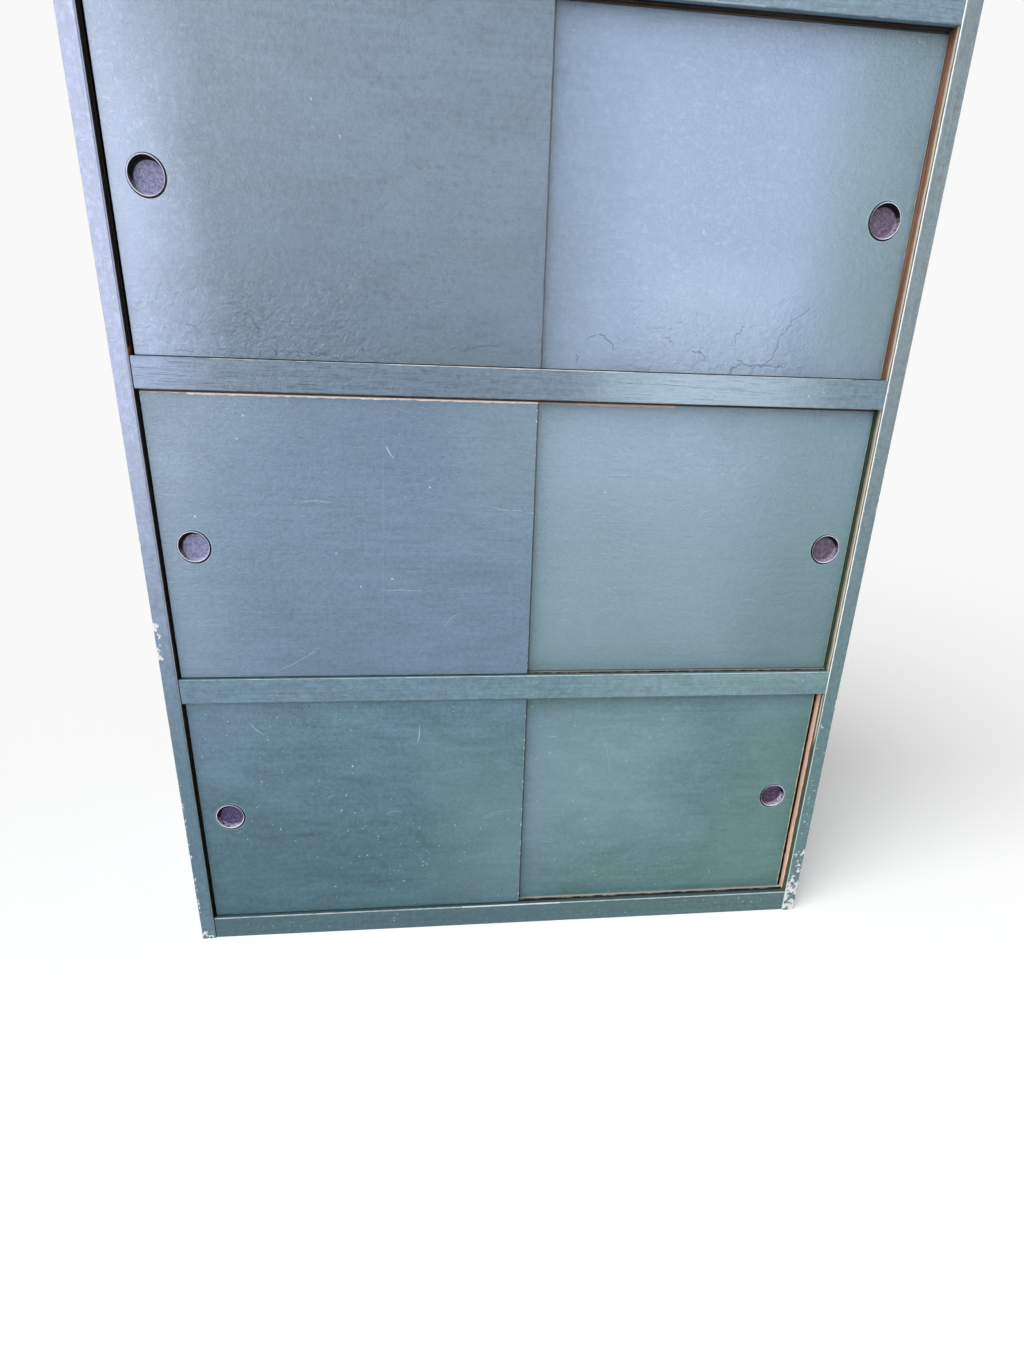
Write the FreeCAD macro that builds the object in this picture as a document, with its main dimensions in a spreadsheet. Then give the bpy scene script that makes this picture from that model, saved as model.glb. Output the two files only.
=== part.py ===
# A mizuya kitchen cabinet: a painted post-and-rail carcass with three tiers of sliding doors.
# Millimetres. The origin is under the middle of the carcass, on the floor: +X to the right,
# -Y to the front, +Z up.

import FreeCAD, Part

import os
import re

import Sketcher

# Driving sizes. Each is one cell of the sheet, under the same name.
SIZES = {
    # the carcass as a whole
    "overall_width": 1212,
    "overall_depth": 424,
    "bottom_rail_height": 45.5,
    "rail_height": 44,
    "lower_opening": 454,
    "middle_opening": 458,
    "upper_opening": 454,
    # posts
    "post_width": 25,
    "front_post_backing": 0.5,
    "rear_post_depth": 36,
    "outer_arris": 1.2,
    "inner_arris": 2,
    "jamb_groove_depth": 2,
    # front rails and their door tracks
    "rail_recess": 2.5,
    "rail_arris": 1,
    "front_lip": 11,
    "rear_lip": 10.5,
    "track_width": 6.5,
    "sill_track_depth": 3,
    "head_track_depth": 10,
    "left_shoulder_gap": 1.5,
    # tenons and mortises
    "front_tenon_length": 15,
    "front_tenon_thickness": 12,
    "front_tenon_cover": 3,
    "rear_tenon_length": 15,
    "rear_tenon_thickness": 10,
    "rear_tenon_cover": 6,
    "side_tenon_length": 12,
    "side_tenon_thickness": 8,
    "side_tenon_cover": 2,
    "mortise_web": 3,
    "mortise_slack": 0.5,
    "joint_clearance": 0.1,
    # rear rails, back boards and the rebate that takes them
    "rear_rail_depth": 25,
    "back_rebate_width": 10,
    "back_rebate_play": 0.5,
    "back_board_thickness": 5,
    "back_board_gap": 1.5,
    "back_board_lift": 6,
    # side panels
    "panel_thickness": 6,
    "panel_groove_depth": 6,
    "panel_play": 0.5,
    # shelves and top
    "shelf_thickness": 12,
    "shelf_drop": 1,
    "shelf_seat": 6,
    "shelf_play": 0.3,
    "top_thickness": 15,
    "top_round": 1.5,
    # doors
    "door_overlap": 22,
    "skin_thickness": 3,
    "skin_arris": 0.6,
    "skin_foot_gap": 1.5,
    "track_clearance": 0.25,
    "sill_clearance": 0.3,
    "lift_spare": 1,
    "pull_passing_gap": 1.2,
    "lower_left_gap": 4.5,
    "lower_right_gap": 7.5,
    "middle_left_gap": 4,
    "middle_right_gap": 0.8,
    "upper_left_gap": 6,
    "upper_right_gap": 0.8,
    # finger pulls
    "pull_drop": 4.5,
    "pull_radius": 26.5,
    "pull_proud": 0.8,
    "pull_rim_arris": 0.35,
    "cup_radius": 23,
    "cup_floor_radius": 20.5,
    "cup_floor_round": 2,
    "cup_wall": 1,
    "cup_back_gap": 0.6,
    "pull_hole_clearance": 0.2,
    "lower_left_pull_offset": 50,
    "lower_right_pull_offset": 47.5,
    "middle_left_pull_offset": 49,
    "middle_right_pull_offset": 40.5,
    "upper_left_pull_offset": 49,
    "upper_right_pull_offset": 44,
    # nails
    "nail_bite": 20,
    "nail_radius": 1.2,
    "nail_head_radius": 3,
    "nail_head_thickness": 0.8,
    "nail_head_proud": 0.4,
    "nail_sink": 0.5,
    "nail_pocket_clearance": 0.2,
    "back_nail_inset": 30,
}

# Sizes worked out from the driving ones.
WORKED = {
    "inner_half": "overall_width / 2 - post_width",
    "level_lower": "bottom_rail_height + lower_opening",
    "level_upper": "level_lower + rail_height + middle_opening",
    "level_top": "level_upper + rail_height + upper_opening",
    "post_height": "level_top + rail_height",
    "shelf_seat_depth": "shelf_drop + shelf_thickness",
    # the front rails from front to rear
    "track_ridge": "pull_proud + pull_passing_gap + 2 * skin_thickness - 2 * track_clearance",
    "rail_depth": "front_lip + 2 * track_width + track_ridge + rear_lip",
    "front_post_depth": "rail_recess + rail_depth + front_post_backing",
    "front_face": "-overall_depth / 2",
    "rail_face": "front_face + rail_recess",
    "front_track": "rail_face + front_lip",
    "rear_track": "front_track + track_width + track_ridge",
    # what reaches from the front posts to the rear ones
    "side_span": "overall_depth - front_post_depth - rear_post_depth",
    "side_middle": "(front_post_depth - rear_post_depth) / 2",
    "front_post_back": "front_face + front_post_depth",
    "rear_post_front": "overall_depth / 2 - rear_post_depth",
    "side_tenon_margin": "panel_groove_depth + side_tenon_cover",
    "panel_face": "(post_width - panel_thickness) / 2",
    "panel_reach": "panel_groove_depth - panel_play",
    # the front and rear rails' tenons pass behind the side rails' tenons, with a web between
    "side_mortise_reach": "side_tenon_length + mortise_slack + mortise_web",
    "front_tenon_face": "front_post_back - side_mortise_reach - front_tenon_thickness",
    "rear_tenon_face": "rear_post_front + side_mortise_reach",
    "back_rebate_depth": "back_board_thickness + back_rebate_play",
    "back_face": "overall_depth / 2 - back_rebate_depth",
    "rear_rail_face": "back_face - rear_rail_depth",
    "back_room": "2 * (inner_half + back_rebate_width)",
    "back_board_width": "(back_room - 4 * back_board_gap) / 3",
    # doors and pulls
    "door_width": "inner_half + door_overlap / 2",
    "core_thickness": "track_width - 2 * track_clearance",
    "core_drop": "sill_track_depth - sill_clearance",
    "core_rise": "head_track_depth - sill_track_depth - lift_spare",
    "skin_head_gap": "sill_track_depth",
    "cup_depth": "skin_thickness + core_thickness - cup_back_gap",
    "pull_hole_radius": "cup_radius + cup_wall + pull_hole_clearance",
}

# The four levels of rails: name, underside, height, shelf on top, doors above, doors below.
LEVELS = (
    ("bottom", "0", "bottom_rail_height", True, True, False),
    ("lower", "level_lower", "rail_height", True, True, True),
    ("upper", "level_upper", "rail_height", True, True, True),
    ("top", "level_top", "rail_height", False, False, True),
)

# The three tiers of doors: name, top of the rail below, height of the opening.
TIERS = (
    ("lower", "bottom_rail_height", "lower_opening"),
    ("middle", "level_lower + rail_height", "middle_opening"),
    ("upper", "level_upper + rail_height", "upper_opening"),
)

# The two ends of the cabinet: name and the direction from the middle towards it.
SIDES = (("left", "-1"), ("right", "1"))

# Nail places in the top, as shares of the half width and of the sides' half span.
LONG_ROW_SHARES = (-0.85, -0.28, 0.28, 0.85)
SIDE_ROW_SHARES = (-0.5, 0.5)

# Two places count as the same within this share of an edge's length.
SAME_PLACE_SHARE = 1e-6

document = FreeCAD.newDocument("MizuyaCabinet")
sheet = document.addObject("Spreadsheet::Sheet", "Sizes")
pieces = []


def fill_sheet():
    for row, (name, size) in enumerate(SIZES.items(), start=1):
        sheet.set(f"A{row}", name)
        sheet.set(f"B{row}", str(size))
        sheet.setAlias(f"B{row}", name)
    document.recompute()


# Writes a formula of size names out in the sheet's own cells.
def formula(text):
    def cell(match):
        name = match.group(0)
        if name in WORKED:
            return f"({formula(WORKED[name])})"
        return f"Sizes.{name}"

    return re.sub(r"[a-z_]{3,}", cell, text)


def number(text):
    return float(sheet.evalExpression(formula(text)))


def bind(target, property_path, text):
    target.setExpression(property_path, formula(text))


def place(piece, across, along, height):
    bind(piece, "Placement.Base.x", across)
    bind(piece, "Placement.Base.y", along)
    bind(piece, "Placement.Base.z", height)


def new_body(label):
    body = document.addObject("PartDesign::Body", label)
    body.Label = label
    pieces.append(body)
    return body


# A plain board: its three sizes, along X, Y and Z, and its low corner.
def new_board(label, sizes, corner):
    board = document.addObject("Part::Box", label)
    board.Label = label
    pieces.append(board)
    for side, text in zip(("Length", "Width", "Height"), sizes):
        bind(board, side, text)
    place(board, *corner)


def new_sketch(body, plane_role):
    sketch = body.newObject("Sketcher::SketchObject", f"{body.Name}_sketch")
    planes = {plane.Role: plane for plane in body.Origin.OriginFeatures}
    sketch.AttachmentSupport = [(planes[plane_role], "")]
    sketch.MapMode = "FlatFace"
    return sketch


def hold_point(sketch, geometry, end, across, up):
    for kind, text in (("DistanceX", across), ("DistanceY", up)):
        held = sketch.addConstraint(Sketcher.Constraint(kind, -1, 1, geometry, end, number(text)))
        bind(sketch, f"Constraints[{held}]", text)


# Draws a closed outline of straight lines, with each corner held by two sizes.
def draw_outline(sketch, corners):
    first = sketch.GeometryCount
    points = [FreeCAD.Vector(number(across), number(up), 0) for across, up in corners]
    for index, point in enumerate(points):
        sketch.addGeometry(Part.LineSegment(point, points[(index + 1) % len(points)]))
    for index, (across, up) in enumerate(corners):
        line = first + index
        following = first + (index + 1) % len(corners)
        sketch.addConstraint(Sketcher.Constraint("Coincident", line, 2, following, 1))
        hold_point(sketch, line, 1, across, up)


def draw_rectangle(sketch, left, low, right, high):
    draw_outline(sketch, [(left, low), (right, low), (right, high), (left, high)])


def draw_circle(sketch, across, up, radius):
    centre = FreeCAD.Vector(number(across), number(up), 0)
    circle = sketch.addGeometry(Part.Circle(centre, FreeCAD.Vector(0, 0, 1), number(radius)))
    hold_point(sketch, circle, 3, across, up)
    size = sketch.addConstraint(Sketcher.Constraint("Radius", circle, number(radius)))
    bind(sketch, f"Constraints[{size}]", radius)


# Grows a sketch into a solid: one way, or the same length to both sides of its plane.
def add_pad(body, sketch, length, side_type="One side", reverse=False):
    pad = body.newObject("PartDesign::Pad", f"{sketch.Name}_pad")
    pad.Profile = sketch
    pad.SideType = side_type
    pad.Reversed = reverse
    bind(pad, "Length", length)
    document.recompute()
    return pad


# Cuts a sketch out of the body, and makes sure that the cut met the solid.
def add_pocket(body, sketch, depth, reverse):
    before = body.Shape.Volume
    pocket = body.newObject("PartDesign::Pocket", f"{sketch.Name}_pocket")
    pocket.Profile = sketch
    pocket.Reversed = reverse
    bind(pocket, "Length", depth)
    document.recompute()
    if body.Shape.Volume >= before:
        raise RuntimeError(f"{body.Label}: a cut misses the solid")


# Rounds or bevels the edges that a test picks out of a body's last feature.
def dress_edges(body, feature_type, size_property, size, wanted):
    base = body.Tip
    names = [f"Edge{index}" for index, edge in enumerate(base.Shape.Edges, start=1) if wanted(edge)]
    if not names:
        raise RuntimeError(f"{body.Label}: no edge to dress")
    feature = body.newObject(feature_type, f"{base.Name}_dressing")
    feature.Base = (base, names)
    bind(feature, size_property, size)
    document.recompute()


# Whether all of an edge lies at one place along the X, Y or Z axis.
def lies_at(edge, axis, level):
    room = edge.Length * SAME_PLACE_SHARE
    ends = [getattr(vertex.Point, axis) for vertex in edge.Vertexes]
    return all(abs(end - level) < room for end in ends)


# Underside and top of a front rail's tenon: clear of the tracks above and below it.
def front_tenon_heights(level, height):
    low = f"{level} + head_track_depth + front_tenon_cover"
    high = f"{level} + {height} - sill_track_depth - front_tenon_cover"
    return low, high


# Height of the side and rear rails at a level: under a shelf they stop at its underside.
def low_rail_height(height, has_shelf):
    return f"{height} - shelf_seat_depth" if has_shelf else height


# Draws a mortise as its tenon's outline with a little room all round.
def draw_mortise(sketch, left, low, right, high):
    draw_rectangle(
        sketch,
        f"{left} - joint_clearance",
        f"{low} - joint_clearance",
        f"{right} + joint_clearance",
        f"{high} + joint_clearance",
    )


# A front post stands with its rear inner corner at the body's own origin. Two shallow grooves
# run up its inner face in line with the door tracks, and one up its back takes the panels.
def front_post(side, outward):
    body = new_body(f"front_post_{side}")
    outline = [("0", "0")]
    for track in ("rear_track", "front_track"):
        start = f"{track} - front_post_back"
        end = f"{start} + track_width"
        outline += [("0", end), ("jamb_groove_depth", end), ("jamb_groove_depth", start), ("0", start)]
    outline += [
        ("0", "inner_arris - front_post_depth"),
        ("inner_arris", "-front_post_depth"),
        ("post_width - outer_arris", "-front_post_depth"),
        ("post_width", "outer_arris - front_post_depth"),
        ("post_width", "0"),
        ("post_width - panel_face + joint_clearance", "0"),
        ("post_width - panel_face + joint_clearance", "-panel_groove_depth"),
        ("panel_face - joint_clearance", "-panel_groove_depth"),
        ("panel_face - joint_clearance", "0"),
    ]
    sketch = new_sketch(body, "XY_Plane")
    draw_outline(sketch, [(f"{outward} * ({across})", along) for across, along in outline])
    add_pad(body, sketch, "post_height")
    face = "front_tenon_face - front_post_back"
    mortises = new_sketch(body, "YZ_Plane")
    for _, level, height, *_ in LEVELS:
        low, high = front_tenon_heights(level, height)
        draw_mortise(mortises, face, low, f"{face} + front_tenon_thickness", high)
    add_pocket(body, mortises, "front_tenon_length + mortise_slack", reverse=outward == "1")
    cut_side_mortises(body, outward, reverse=True)
    place(body, f"{outward} * inner_half", "front_post_back", "0")


# A rear post stands with its front inner corner at the body's own origin. It has a panel
# groove up its front and a rebate for the back boards up its rear inner corner.
def rear_post(side, outward):
    body = new_body(f"rear_post_{side}")
    outline = [
        ("0", "0"),
        ("panel_face - joint_clearance", "0"),
        ("panel_face - joint_clearance", "panel_groove_depth"),
        ("post_width - panel_face + joint_clearance", "panel_groove_depth"),
        ("post_width - panel_face + joint_clearance", "0"),
        ("post_width", "0"),
        ("post_width", "rear_post_depth - outer_arris"),
        ("post_width - outer_arris", "rear_post_depth"),
        ("back_rebate_width", "rear_post_depth"),
        ("back_rebate_width", "rear_post_depth - back_rebate_depth"),
        ("0", "rear_post_depth - back_rebate_depth"),
    ]
    sketch = new_sketch(body, "XY_Plane")
    draw_outline(sketch, [(f"{outward} * ({across})", along) for across, along in outline])
    add_pad(body, sketch, "post_height")
    face = "rear_tenon_face - rear_post_front"
    mortises = new_sketch(body, "YZ_Plane")
    for _, level, height, has_shelf, *_ in LEVELS:
        low = f"{level} + rear_tenon_cover"
        high = f"{level} + {low_rail_height(height, has_shelf)} - rear_tenon_cover"
        draw_mortise(mortises, face, low, f"{face} + rear_tenon_thickness", high)
    add_pocket(body, mortises, "rear_tenon_length + mortise_slack", reverse=outward == "1")
    cut_side_mortises(body, outward, reverse=False)
    place(body, f"{outward} * inner_half", "rear_post_front", "0")


# The two faces of a side rail's tenon, from left to right. It is centred in the post's width.
def side_tenon_faces(outward):
    middle = f"{outward} * post_width / 2"
    return f"{middle} - side_tenon_thickness / 2", f"{middle} + side_tenon_thickness / 2"


# Mortises of the side rails, in the face of a post that looks along the cabinet's side.
def cut_side_mortises(body, outward, reverse):
    sketch = new_sketch(body, "XZ_Plane")
    left, right = side_tenon_faces(outward)
    for _, level, height, has_shelf, *_ in LEVELS:
        low = f"{level} + side_tenon_margin"
        high = f"{level} + {low_rail_height(height, has_shelf)} - side_tenon_margin"
        draw_mortise(sketch, left, low, right, high)
    add_pocket(body, sketch, "side_tenon_length + mortise_slack", reverse)


# Corners of the two door tracks cut into an edge of a front rail, from front to rear.
def track_corners(edge, bottom):
    corners = []
    for track in ("front_track", "rear_track"):
        start = f"{track} - rail_face"
        end = f"{start} + track_width"
        corners += [(start, edge), (start, bottom), (end, bottom), (end, edge)]
    return corners


# A front rail: the section with its tracks and shelf rebate, run between the posts, and one
# tenon at each end. The left shoulder has opened a little, and its tenon bridges the gap.
def front_rail(name, level, height, has_shelf, doors_above, doors_below):
    body = new_body(f"front_rail_{name}")
    outline = [("0", f"{height} - rail_arris"), ("0", "rail_arris"), ("rail_arris", "0")]
    if doors_below:
        outline += track_corners("0", "head_track_depth")
    outline += [("rail_depth", "0")]
    if has_shelf:
        seat = f"{height} - shelf_seat_depth"
        outline += [("rail_depth", seat), ("rail_depth - shelf_seat", seat)]
        outline += [("rail_depth - shelf_seat", height)]
    else:
        outline += [("rail_depth", height)]
    if doors_above:
        outline += reversed(track_corners(height, f"{height} - sill_track_depth"))
    outline += [("rail_arris", height)]
    section = new_sketch(body, "YZ_Plane")
    draw_outline(section, outline)
    pad = add_pad(body, section, "inner_half", side_type="Two sides")
    bind(pad, "Length2", "inner_half - left_shoulder_gap")
    low, high = front_tenon_heights("0", height)
    face = "front_tenon_face - rail_face"
    tenon = new_sketch(body, "YZ_Plane")
    draw_rectangle(tenon, face, low, f"{face} + front_tenon_thickness", high)
    add_pad(body, tenon, "2 * (inner_half + front_tenon_length)", side_type="Symmetric")
    place(body, "0", "rail_face", level)


# A rear rail: a plain bar between the rear posts with a tenon at each end.
def rear_rail(name, level, height, has_shelf):
    body = new_body(f"rear_rail_{name}")
    own_height = low_rail_height(height, has_shelf)
    section = new_sketch(body, "YZ_Plane")
    draw_rectangle(section, "0", "0", "rear_rail_depth", own_height)
    add_pad(body, section, "2 * inner_half", side_type="Symmetric")
    face = "rear_tenon_face - rear_rail_face"
    high = f"{own_height} - rear_tenon_cover"
    tenon = new_sketch(body, "YZ_Plane")
    draw_rectangle(tenon, face, "rear_tenon_cover", f"{face} + rear_tenon_thickness", high)
    add_pad(body, tenon, "2 * (inner_half + rear_tenon_length)", side_type="Symmetric")
    place(body, "0", "rear_rail_face", level)


# Corners of the groove for a panel in an edge of a side rail, from the outside inwards.
def panel_groove_corners(edge, bottom):
    near = "panel_face - joint_clearance"
    far = "post_width - panel_face + joint_clearance"
    return [(far, edge), (far, bottom), (near, bottom), (near, edge)]


# A side rail: as thick as the posts, grooved for the panels that it borders and tenoned at
# both ends.
def side_rail(side, outward, name, level, height, has_shelf, doors_above, doors_below):
    body = new_body(f"side_rail_{side}_{name}")
    own_height = low_rail_height(height, has_shelf)
    outline = [("0", "0")]
    if doors_below:
        outline += reversed(panel_groove_corners("0", "panel_groove_depth"))
    outline += [("post_width", "0"), ("post_width", own_height)]
    if doors_above:
        outline += panel_groove_corners(own_height, f"{own_height} - panel_groove_depth")
    outline += [("0", own_height)]
    section = new_sketch(body, "XZ_Plane")
    draw_outline(section, [(f"{outward} * ({across})", up) for across, up in outline])
    add_pad(body, section, "side_span", side_type="Symmetric")
    left, right = side_tenon_faces(outward)
    tenon = new_sketch(body, "XZ_Plane")
    draw_rectangle(tenon, left, "side_tenon_margin", right, f"{own_height} - side_tenon_margin")
    add_pad(body, tenon, "side_span + 2 * side_tenon_length", side_type="Symmetric")
    place(body, f"{outward} * inner_half", "side_middle", level)


# A thin board in the grooves of two posts and two side rails.
def side_panel(side, outward, tier, rail_top, next_underside):
    low = f"{rail_top} - panel_reach"
    new_board(
        f"side_panel_{side}_{tier}",
        ("panel_thickness", "side_span + 2 * panel_reach", f"{next_underside} + panel_reach - ({low})"),
        (
            f"{outward} * (inner_half + post_width / 2) - panel_thickness / 2",
            "front_post_back - panel_reach",
            low,
        ),
    )


# A shelf lies on the side and rear rails and in the front rail's rebate, notched round the
# four posts.
def shelf(label, level, height):
    body = new_body(label)
    narrow = "inner_half - shelf_play"
    wide = "inner_half + panel_face - shelf_play"
    right_half = [
        (narrow, "rail_face + rail_depth - shelf_seat + shelf_play"),
        (narrow, "front_post_back + shelf_play"),
        (wide, "front_post_back + shelf_play"),
        (wide, "rear_post_front - shelf_play"),
        (narrow, "rear_post_front - shelf_play"),
        (narrow, "back_face - shelf_play"),
    ]
    left_half = [(f"-({across})", along) for across, along in reversed(right_half)]
    sketch = new_sketch(body, "XY_Plane")
    draw_outline(sketch, right_half + left_half)
    add_pad(body, sketch, "shelf_thickness")
    place(body, "0", "0", f"{level} + {height} - shelf_seat_depth")


# The top lies on the posts and the upper rails, with its upper edges eased. Its nails are
# punched below its surface, each in a small round pocket.
def top_board():
    body = new_body("top_board")
    sketch = new_sketch(body, "XY_Plane")
    half_width = "overall_width / 2"
    half_depth = "overall_depth / 2"
    draw_rectangle(sketch, f"-{half_width}", f"-{half_depth}", half_width, half_depth)
    add_pad(body, sketch, "top_thickness")
    top = number("top_thickness")
    dress_edges(body, "PartDesign::Fillet", "Radius", "top_round", lambda edge: lies_at(edge, "z", top))
    pockets = new_sketch(body, "XY_Plane")
    bind(pockets, "AttachmentOffset.Base.z", "top_thickness")
    for across, along in top_nail_places():
        draw_circle(pockets, across, along, "nail_head_radius + nail_pocket_clearance")
    add_pocket(body, pockets, "nail_sink + nail_head_thickness", reverse=False)
    place(body, "0", "0", "post_height")


# Left edge of one of the three back boards, counted from the left.
def back_board_start(index):
    return f"back_board_gap - back_room / 2 + {index} * (back_board_width + back_board_gap)"


# Three upright boards close the back, side by side between the posts' rebates.
def back_boards():
    for index, name in enumerate(("left", "middle", "right")):
        new_board(
            f"back_board_{name}",
            ("back_board_width", "back_board_thickness", "post_height - back_board_lift"),
            (back_board_start(index), "back_face", "back_board_lift"),
        )


# Nails driven the same way, all in one node: their heads, then their shanks.
def nails(label, plane_role, places, length, reverse):
    body = new_body(label)
    body.AllowCompound = True
    heads = new_sketch(body, plane_role)
    shanks = new_sketch(body, plane_role)
    for across, up in places:
        draw_circle(heads, across, up, "nail_head_radius")
        draw_circle(shanks, across, up, "nail_radius")
    add_pad(body, heads, "nail_head_thickness", reverse=reverse)
    add_pad(body, shanks, length, reverse=reverse)
    return body


# Two nails hold each back board to each rear rail.
def back_board_nails():
    places = []
    for index in range(3):
        start = back_board_start(index)
        for _, level, height, has_shelf, *_ in LEVELS:
            up = f"{level} + ({low_rail_height(height, has_shelf)}) / 2"
            places.append((f"{start} + back_nail_inset", up))
            places.append((f"{start} + back_board_width - back_nail_inset", up))
    length = "nail_head_proud + back_board_thickness + nail_bite"
    body = nails("back_board_nails", "XZ_Plane", places, length, reverse=False)
    place(body, "0", "back_face + back_board_thickness + nail_head_proud", "0")


# The top is nailed down into the front, rear and side rails under it.
def top_nail_places():
    places = []
    for along in ("rail_face + rail_depth / 2", "rear_rail_face + rear_rail_depth / 2"):
        places += [(f"{share} * inner_half", along) for share in LONG_ROW_SHARES]
    for _, outward in SIDES:
        across = f"{outward} * (inner_half + post_width / 2)"
        places += [(across, f"side_middle + {share} * side_span / 2") for share in SIDE_ROW_SHARES]
    return places


def top_board_nails():
    length = "top_thickness - nail_sink + nail_bite"
    body = nails("top_board_nails", "XY_Plane", top_nail_places(), length, reverse=True)
    place(body, "0", "0", "post_height + top_thickness - nail_sink")


# One sliding door: a core whose top and bottom edges run in the tracks, a thin skin on each
# face, and a round cup let into the front. Left doors run in the front track, right in the rear.
def door(tier, side, floor, opening):
    label = f"{tier}_{side}"
    if side == "left":
        left_edge = f"{label}_gap - inner_half"
        pull_across = f"{label}_pull_offset"
        core_face = "front_track + track_clearance"
    else:
        left_edge = f"inner_half - {label}_gap - door_width"
        pull_across = f"door_width - {label}_pull_offset"
        core_face = "rear_track + track_clearance"
    front_face = f"{core_face} - skin_thickness"
    pull_up = f"{opening} / 2 - pull_drop"
    door_core(label, opening, pull_across, pull_up, (left_edge, core_face, f"{floor} - core_drop"))
    door_front(label, opening, pull_across, pull_up, (left_edge, front_face, floor))
    new_board(
        f"{label}_door_back",
        ("door_width", "skin_thickness", f"{opening} - skin_foot_gap - skin_head_gap"),
        (left_edge, f"{core_face} + core_thickness", f"{floor} + skin_foot_gap"),
    )
    pull(label, (f"{left_edge} + {pull_across}", front_face, f"{floor} + {pull_up}"))


# The core hangs below the sill by the depth of its tongue and rises into the head track.
def door_core(label, opening, pull_across, pull_up, corner):
    body = new_body(f"{label}_door_core")
    sketch = new_sketch(body, "XZ_Plane")
    draw_rectangle(sketch, "0", "0", "door_width", f"{opening} + core_drop + core_rise")
    draw_circle(sketch, pull_across, f"{pull_up} + core_drop", "pull_hole_radius")
    add_pad(body, sketch, "core_thickness", reverse=True)
    place(body, *corner)


def door_front(label, opening, pull_across, pull_up, corner):
    body = new_body(f"{label}_door_front")
    sketch = new_sketch(body, "XZ_Plane")
    draw_rectangle(sketch, "0", "skin_foot_gap", "door_width", f"{opening} - skin_head_gap")
    draw_circle(sketch, pull_across, pull_up, "pull_hole_radius")
    add_pad(body, sketch, "skin_thickness", reverse=True)

    def on_front(edge):
        return isinstance(edge.Curve, Part.Line) and lies_at(edge, "y", 0)

    dress_edges(body, "PartDesign::Chamfer", "Size", "skin_arris", on_front)
    place(body, *corner)


# A pull is turned round the Y axis: a tapered cup let into the door, under a thin flat rim.
def pull(label, centre):
    body = new_body(f"{label}_pull")
    profile = [
        ("0", "cup_depth"),
        ("cup_floor_radius + cup_wall", "cup_depth"),
        ("cup_radius + cup_wall", "0"),
        ("pull_radius", "0"),
        ("pull_radius", "-pull_proud"),
        ("cup_radius", "-pull_proud"),
        ("cup_floor_radius", "cup_depth - cup_wall"),
        ("0", "cup_depth - cup_wall"),
    ]
    sketch = new_sketch(body, "XY_Plane")
    draw_outline(sketch, profile)
    turned = body.newObject("PartDesign::Revolution", f"{label}_pull_turning")
    turned.Profile = sketch
    turned.ReferenceAxis = (sketch, ["V_Axis"])
    turned.Angle = 360
    document.recompute()
    rim = on_circles("-pull_proud", ("cup_radius", "pull_radius"))
    dress_edges(body, "PartDesign::Chamfer", "Size", "pull_rim_arris", rim)
    floor = on_circles("cup_depth - cup_wall", ("cup_floor_radius",))
    dress_edges(body, "PartDesign::Fillet", "Radius", "cup_floor_round", floor)
    place(body, *centre)


# A test for the circular edges of given radii that lie at one depth of a turned body.
def on_circles(depth, radii):
    level = number(depth)
    sizes = [number(radius) for radius in radii]

    def wanted(edge):
        if not isinstance(edge.Curve, Part.Circle) or not lies_at(edge, "y", level):
            return False
        return any(abs(edge.Curve.Radius - radius) < radius * SAME_PLACE_SHARE for radius in sizes)

    return wanted


def build_carcass():
    for side, outward in SIDES:
        front_post(side, outward)
        rear_post(side, outward)
    for name, level, height, has_shelf, doors_above, doors_below in LEVELS:
        front_rail(name, level, height, has_shelf, doors_above, doors_below)
        rear_rail(name, level, height, has_shelf)
        for side, outward in SIDES:
            side_rail(side, outward, name, level, height, has_shelf, doors_above, doors_below)
    for (tier, _, _), rail_below, rail_above in zip(TIERS, LEVELS, LEVELS[1:]):
        _, level, height, has_shelf, *_ = rail_below
        rail_top = f"{level} + {low_rail_height(height, has_shelf)}"
        for side, outward in SIDES:
            side_panel(side, outward, tier, rail_top, rail_above[1])
    for label, (_, level, height, *_) in zip(("bottom_board", "lower_shelf", "upper_shelf"), LEVELS):
        shelf(label, level, height)
    top_board()
    back_boards()
    back_board_nails()
    top_board_nails()


def build_doors():
    for tier, floor, opening in TIERS:
        for side, _ in SIDES:
            door(tier, side, floor, opening)


# Every object has to be built and every piece a sound solid before anything is written.
def check_pieces():
    for thing in document.Objects:
        if "Invalid" in thing.State or "Error" in thing.State:
            raise RuntimeError(f"{thing.Label} failed: {thing.State}")
    for piece in pieces:
        if piece.Shape.isNull() or not piece.Shape.isValid():
            raise RuntimeError(f"{piece.Label} has no sound shape")


def write_pieces():
    os.makedirs("parts", exist_ok=True)
    for piece in pieces:
        piece.Shape.exportStep(f"parts/{piece.Label}.step")
    print(f"{len(pieces)} pieces written")


fill_sheet()
build_carcass()
build_doors()
document.recompute()
check_pieces()
write_pieces()
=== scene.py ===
from math import pi, radians

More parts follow.
